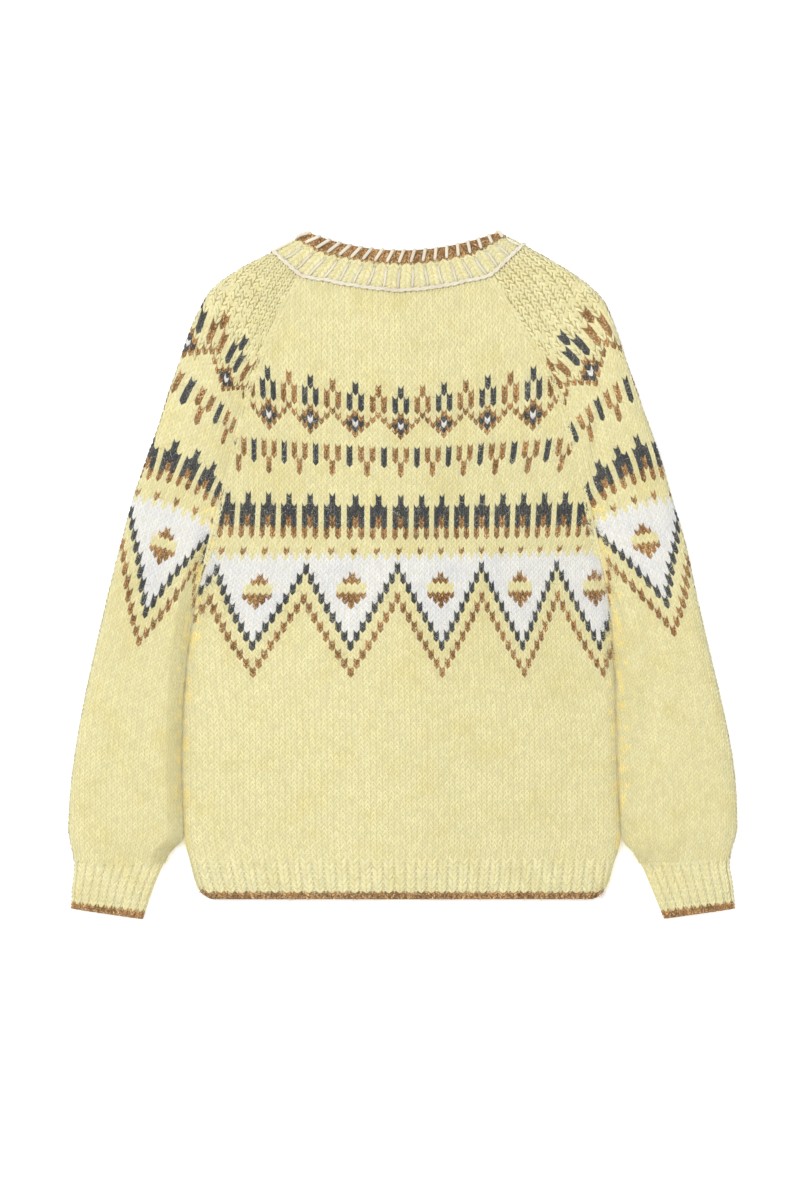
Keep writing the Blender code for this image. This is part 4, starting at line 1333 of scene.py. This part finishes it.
def make_button(node, y, finishes):
    """A round horn button whose face, with four holes, looks down at the floor."""
    rim = BUTTON_RADIUS - BUTTON_RIM
    radii = np.concatenate([np.linspace(0.0, rim, BUTTON_DISH_RINGS),
                            np.linspace(rim, BUTTON_RADIUS, BUTTON_RIM_RINGS)[1:]])
    turns = np.arange(BUTTON_SIDES) * 2.0 * math.pi / BUTTON_SIDES
    x = radii[:, None] * np.cos(turns)
    across = radii[:, None] * np.sin(turns)
    holes = [(i * BUTTON_HOLE_AT, j * BUTTON_HOLE_AT) for i in (-1, 1) for j in (-1, 1)]
    away = np.min([np.hypot(x - i, across - j) for i, j in holes], axis=0)
    pit = BUTTON_HOLE_DEPTH * (1.0 - smooth((away - BUTTON_HOLE + BUTTON_HOLE_EASE) / BUTTON_HOLE_EASE))
    face = BUTTON_HEIGHT - button_profile(np.broadcast_to(radii[:, None], x.shape)) + pit
    rings = [np.column_stack(ring) for ring in zip(x, across, face)]
    for radius, z in ((BUTTON_RADIUS, BUTTON_HEIGHT - BUTTON_BACK_EASE),
                      (BUTTON_RADIUS - BUTTON_BACK_EASE, BUTTON_HEIGHT), (0.0, BUTTON_HEIGHT)):
        rings.append(np.column_stack([radius * np.cos(turns), radius * np.sin(turns),
                                      np.full(len(turns), z)]))
    index = np.arange(BUTTON_SIDES)
    after = (index + 1) % BUTTON_SIDES
    faces = []
    for ring in range(len(rings) - 1):
        low, high = ring * BUTTON_SIDES, (ring + 1) * BUTTON_SIDES
        faces += [np.stack([low + index, high + index, low + after], -1),
                  np.stack([high + index, high + after, low + after], -1)]
    disc = (np.concatenate(rings) + [0.0, y, 0.0], np.concatenate(faces), 0)
    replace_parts(make_piece(f"{node}_disc", [disc], finishes), node)
    threads = []
    share = np.linspace(0.0, 1.0, THREAD_POINTS)
    for start, end in ((holes[0], holes[3]), (holes[1], holes[2])):
        way = np.array(start) + (np.array(end) - start) * share[:, None] + [0.0, y]
        z = THREAD_DEPTH - THREAD_RISE * np.sin(np.pi * share)
        threads.append(tube(np.column_stack([way, z]), THREAD_RADIUS, 1))
    make_piece(f"{node}_thread", threads, finishes)


def make_buttons():
    """The buttons, and on the band over them a loop of yarn round the place of each buttonhole."""
    finishes = [horn_material(), WOOLS[CREAM]]
    lowest = HEM["left"][-1][1] + FIRST_BUTTON_ABOVE_HEM
    highest = NECK_TOP_FRONT_Y - LAST_BUTTON_BELOW_NECK
    turns = np.linspace(0.0, 2.0 * math.pi, HOLE_POINTS)
    z = np.full(len(turns), HOLE_BAND_Z + HOLE_DEPTH)
    loops = []
    for i in range(BUTTON_COUNT):
        y = lowest + (highest - lowest) * i / (BUTTON_COUNT - 1)
        make_button(f"button_{i + 1}", y, finishes)
        loop = np.column_stack([HOLE_HALF_WIDTH * np.sin(turns), y + HOLE_HALF_LENGTH * np.cos(turns), z])
        loops.append(tube(loop, HOLE_YARN))
    make_piece("buttonhole_band_loops", loops)


def make_stage():
    """A pale paper floor, white light all round and two soft lamps that face the garment."""
    scene = bpy.context.scene
    floor_mesh = bpy.data.meshes.new("floor")
    corners = [(x * FLOOR_HALF, y * FLOOR_HALF, 0.0) for x, y in ((-1, -1), (1, -1), (1, 1), (-1, 1))]
    floor_mesh.from_pydata(corners, [], [(0, 1, 2, 3)])
    floor = bpy.data.objects.new("floor", floor_mesh)
    floor.location.z = CAD_BOX[0][2] - FLOOR_DROP
    scene.collection.objects.link(floor)
    paper = bpy.data.materials.new("floor_paper")
    paper.use_nodes = True
    set_inputs(paper.node_tree.nodes["Principled BSDF"], PAPER)
    floor_mesh.materials.append(paper)
    scene.world = bpy.data.worlds.new("studio")
    scene.world.use_nodes = True
    set_inputs(scene.world.node_tree.nodes["Background"], SKY)
    for name, (place, size, power) in LAMPS.items():
        light = bpy.data.lights.new(name, "AREA")
        light.size = size
        light.energy = power
        lamp = bpy.data.objects.new(name, light)
        lamp.location = place
        lamp.rotation_euler = (-Vector(place)).to_track_quat("-Z", "Y").to_euler()
        scene.collection.objects.link(lamp)


def make_camera():
    data = bpy.data.cameras.new("camera")
    data.lens = LENS
    data.sensor_width = SENSOR_WIDTH
    data.clip_end = CLIP_END
    camera = bpy.data.objects.new("camera", data)
    camera.location = (CAMERA_X, CAMERA_Y, LENS / SENSOR_WIDTH * FRAME_HEIGHT + LAID_HEIGHT * MM)
    bpy.context.scene.collection.objects.link(camera)
    bpy.context.scene.camera = camera


rows = range(LAST_ROW + 1)
make_body("back", Cloth([back_line(row) for row in rows]), FULL_LEG, BACK_PIECE_ROWS, BACK_HAIRS)
for side, z in zip(SIDES, (BUTTON_BAND_Z, HOLE_BAND_Z)):
    front = Cloth([front_line(side, z, row) for row in rows])
    make_body(f"front_{side}", front, LIGHT_LEG, FRONT_PIECE_ROWS, FRONT_HAIRS)
    make_sleeve(side)
    make_seam(side)
make_neckband()
make_band("button_band", BUTTON_BAND_Z)
make_band("buttonhole_band", HOLE_BAND_Z)
make_buttons()
make_stage()
make_camera()
bpy.context.scene.view_settings.view_transform = "Standard"
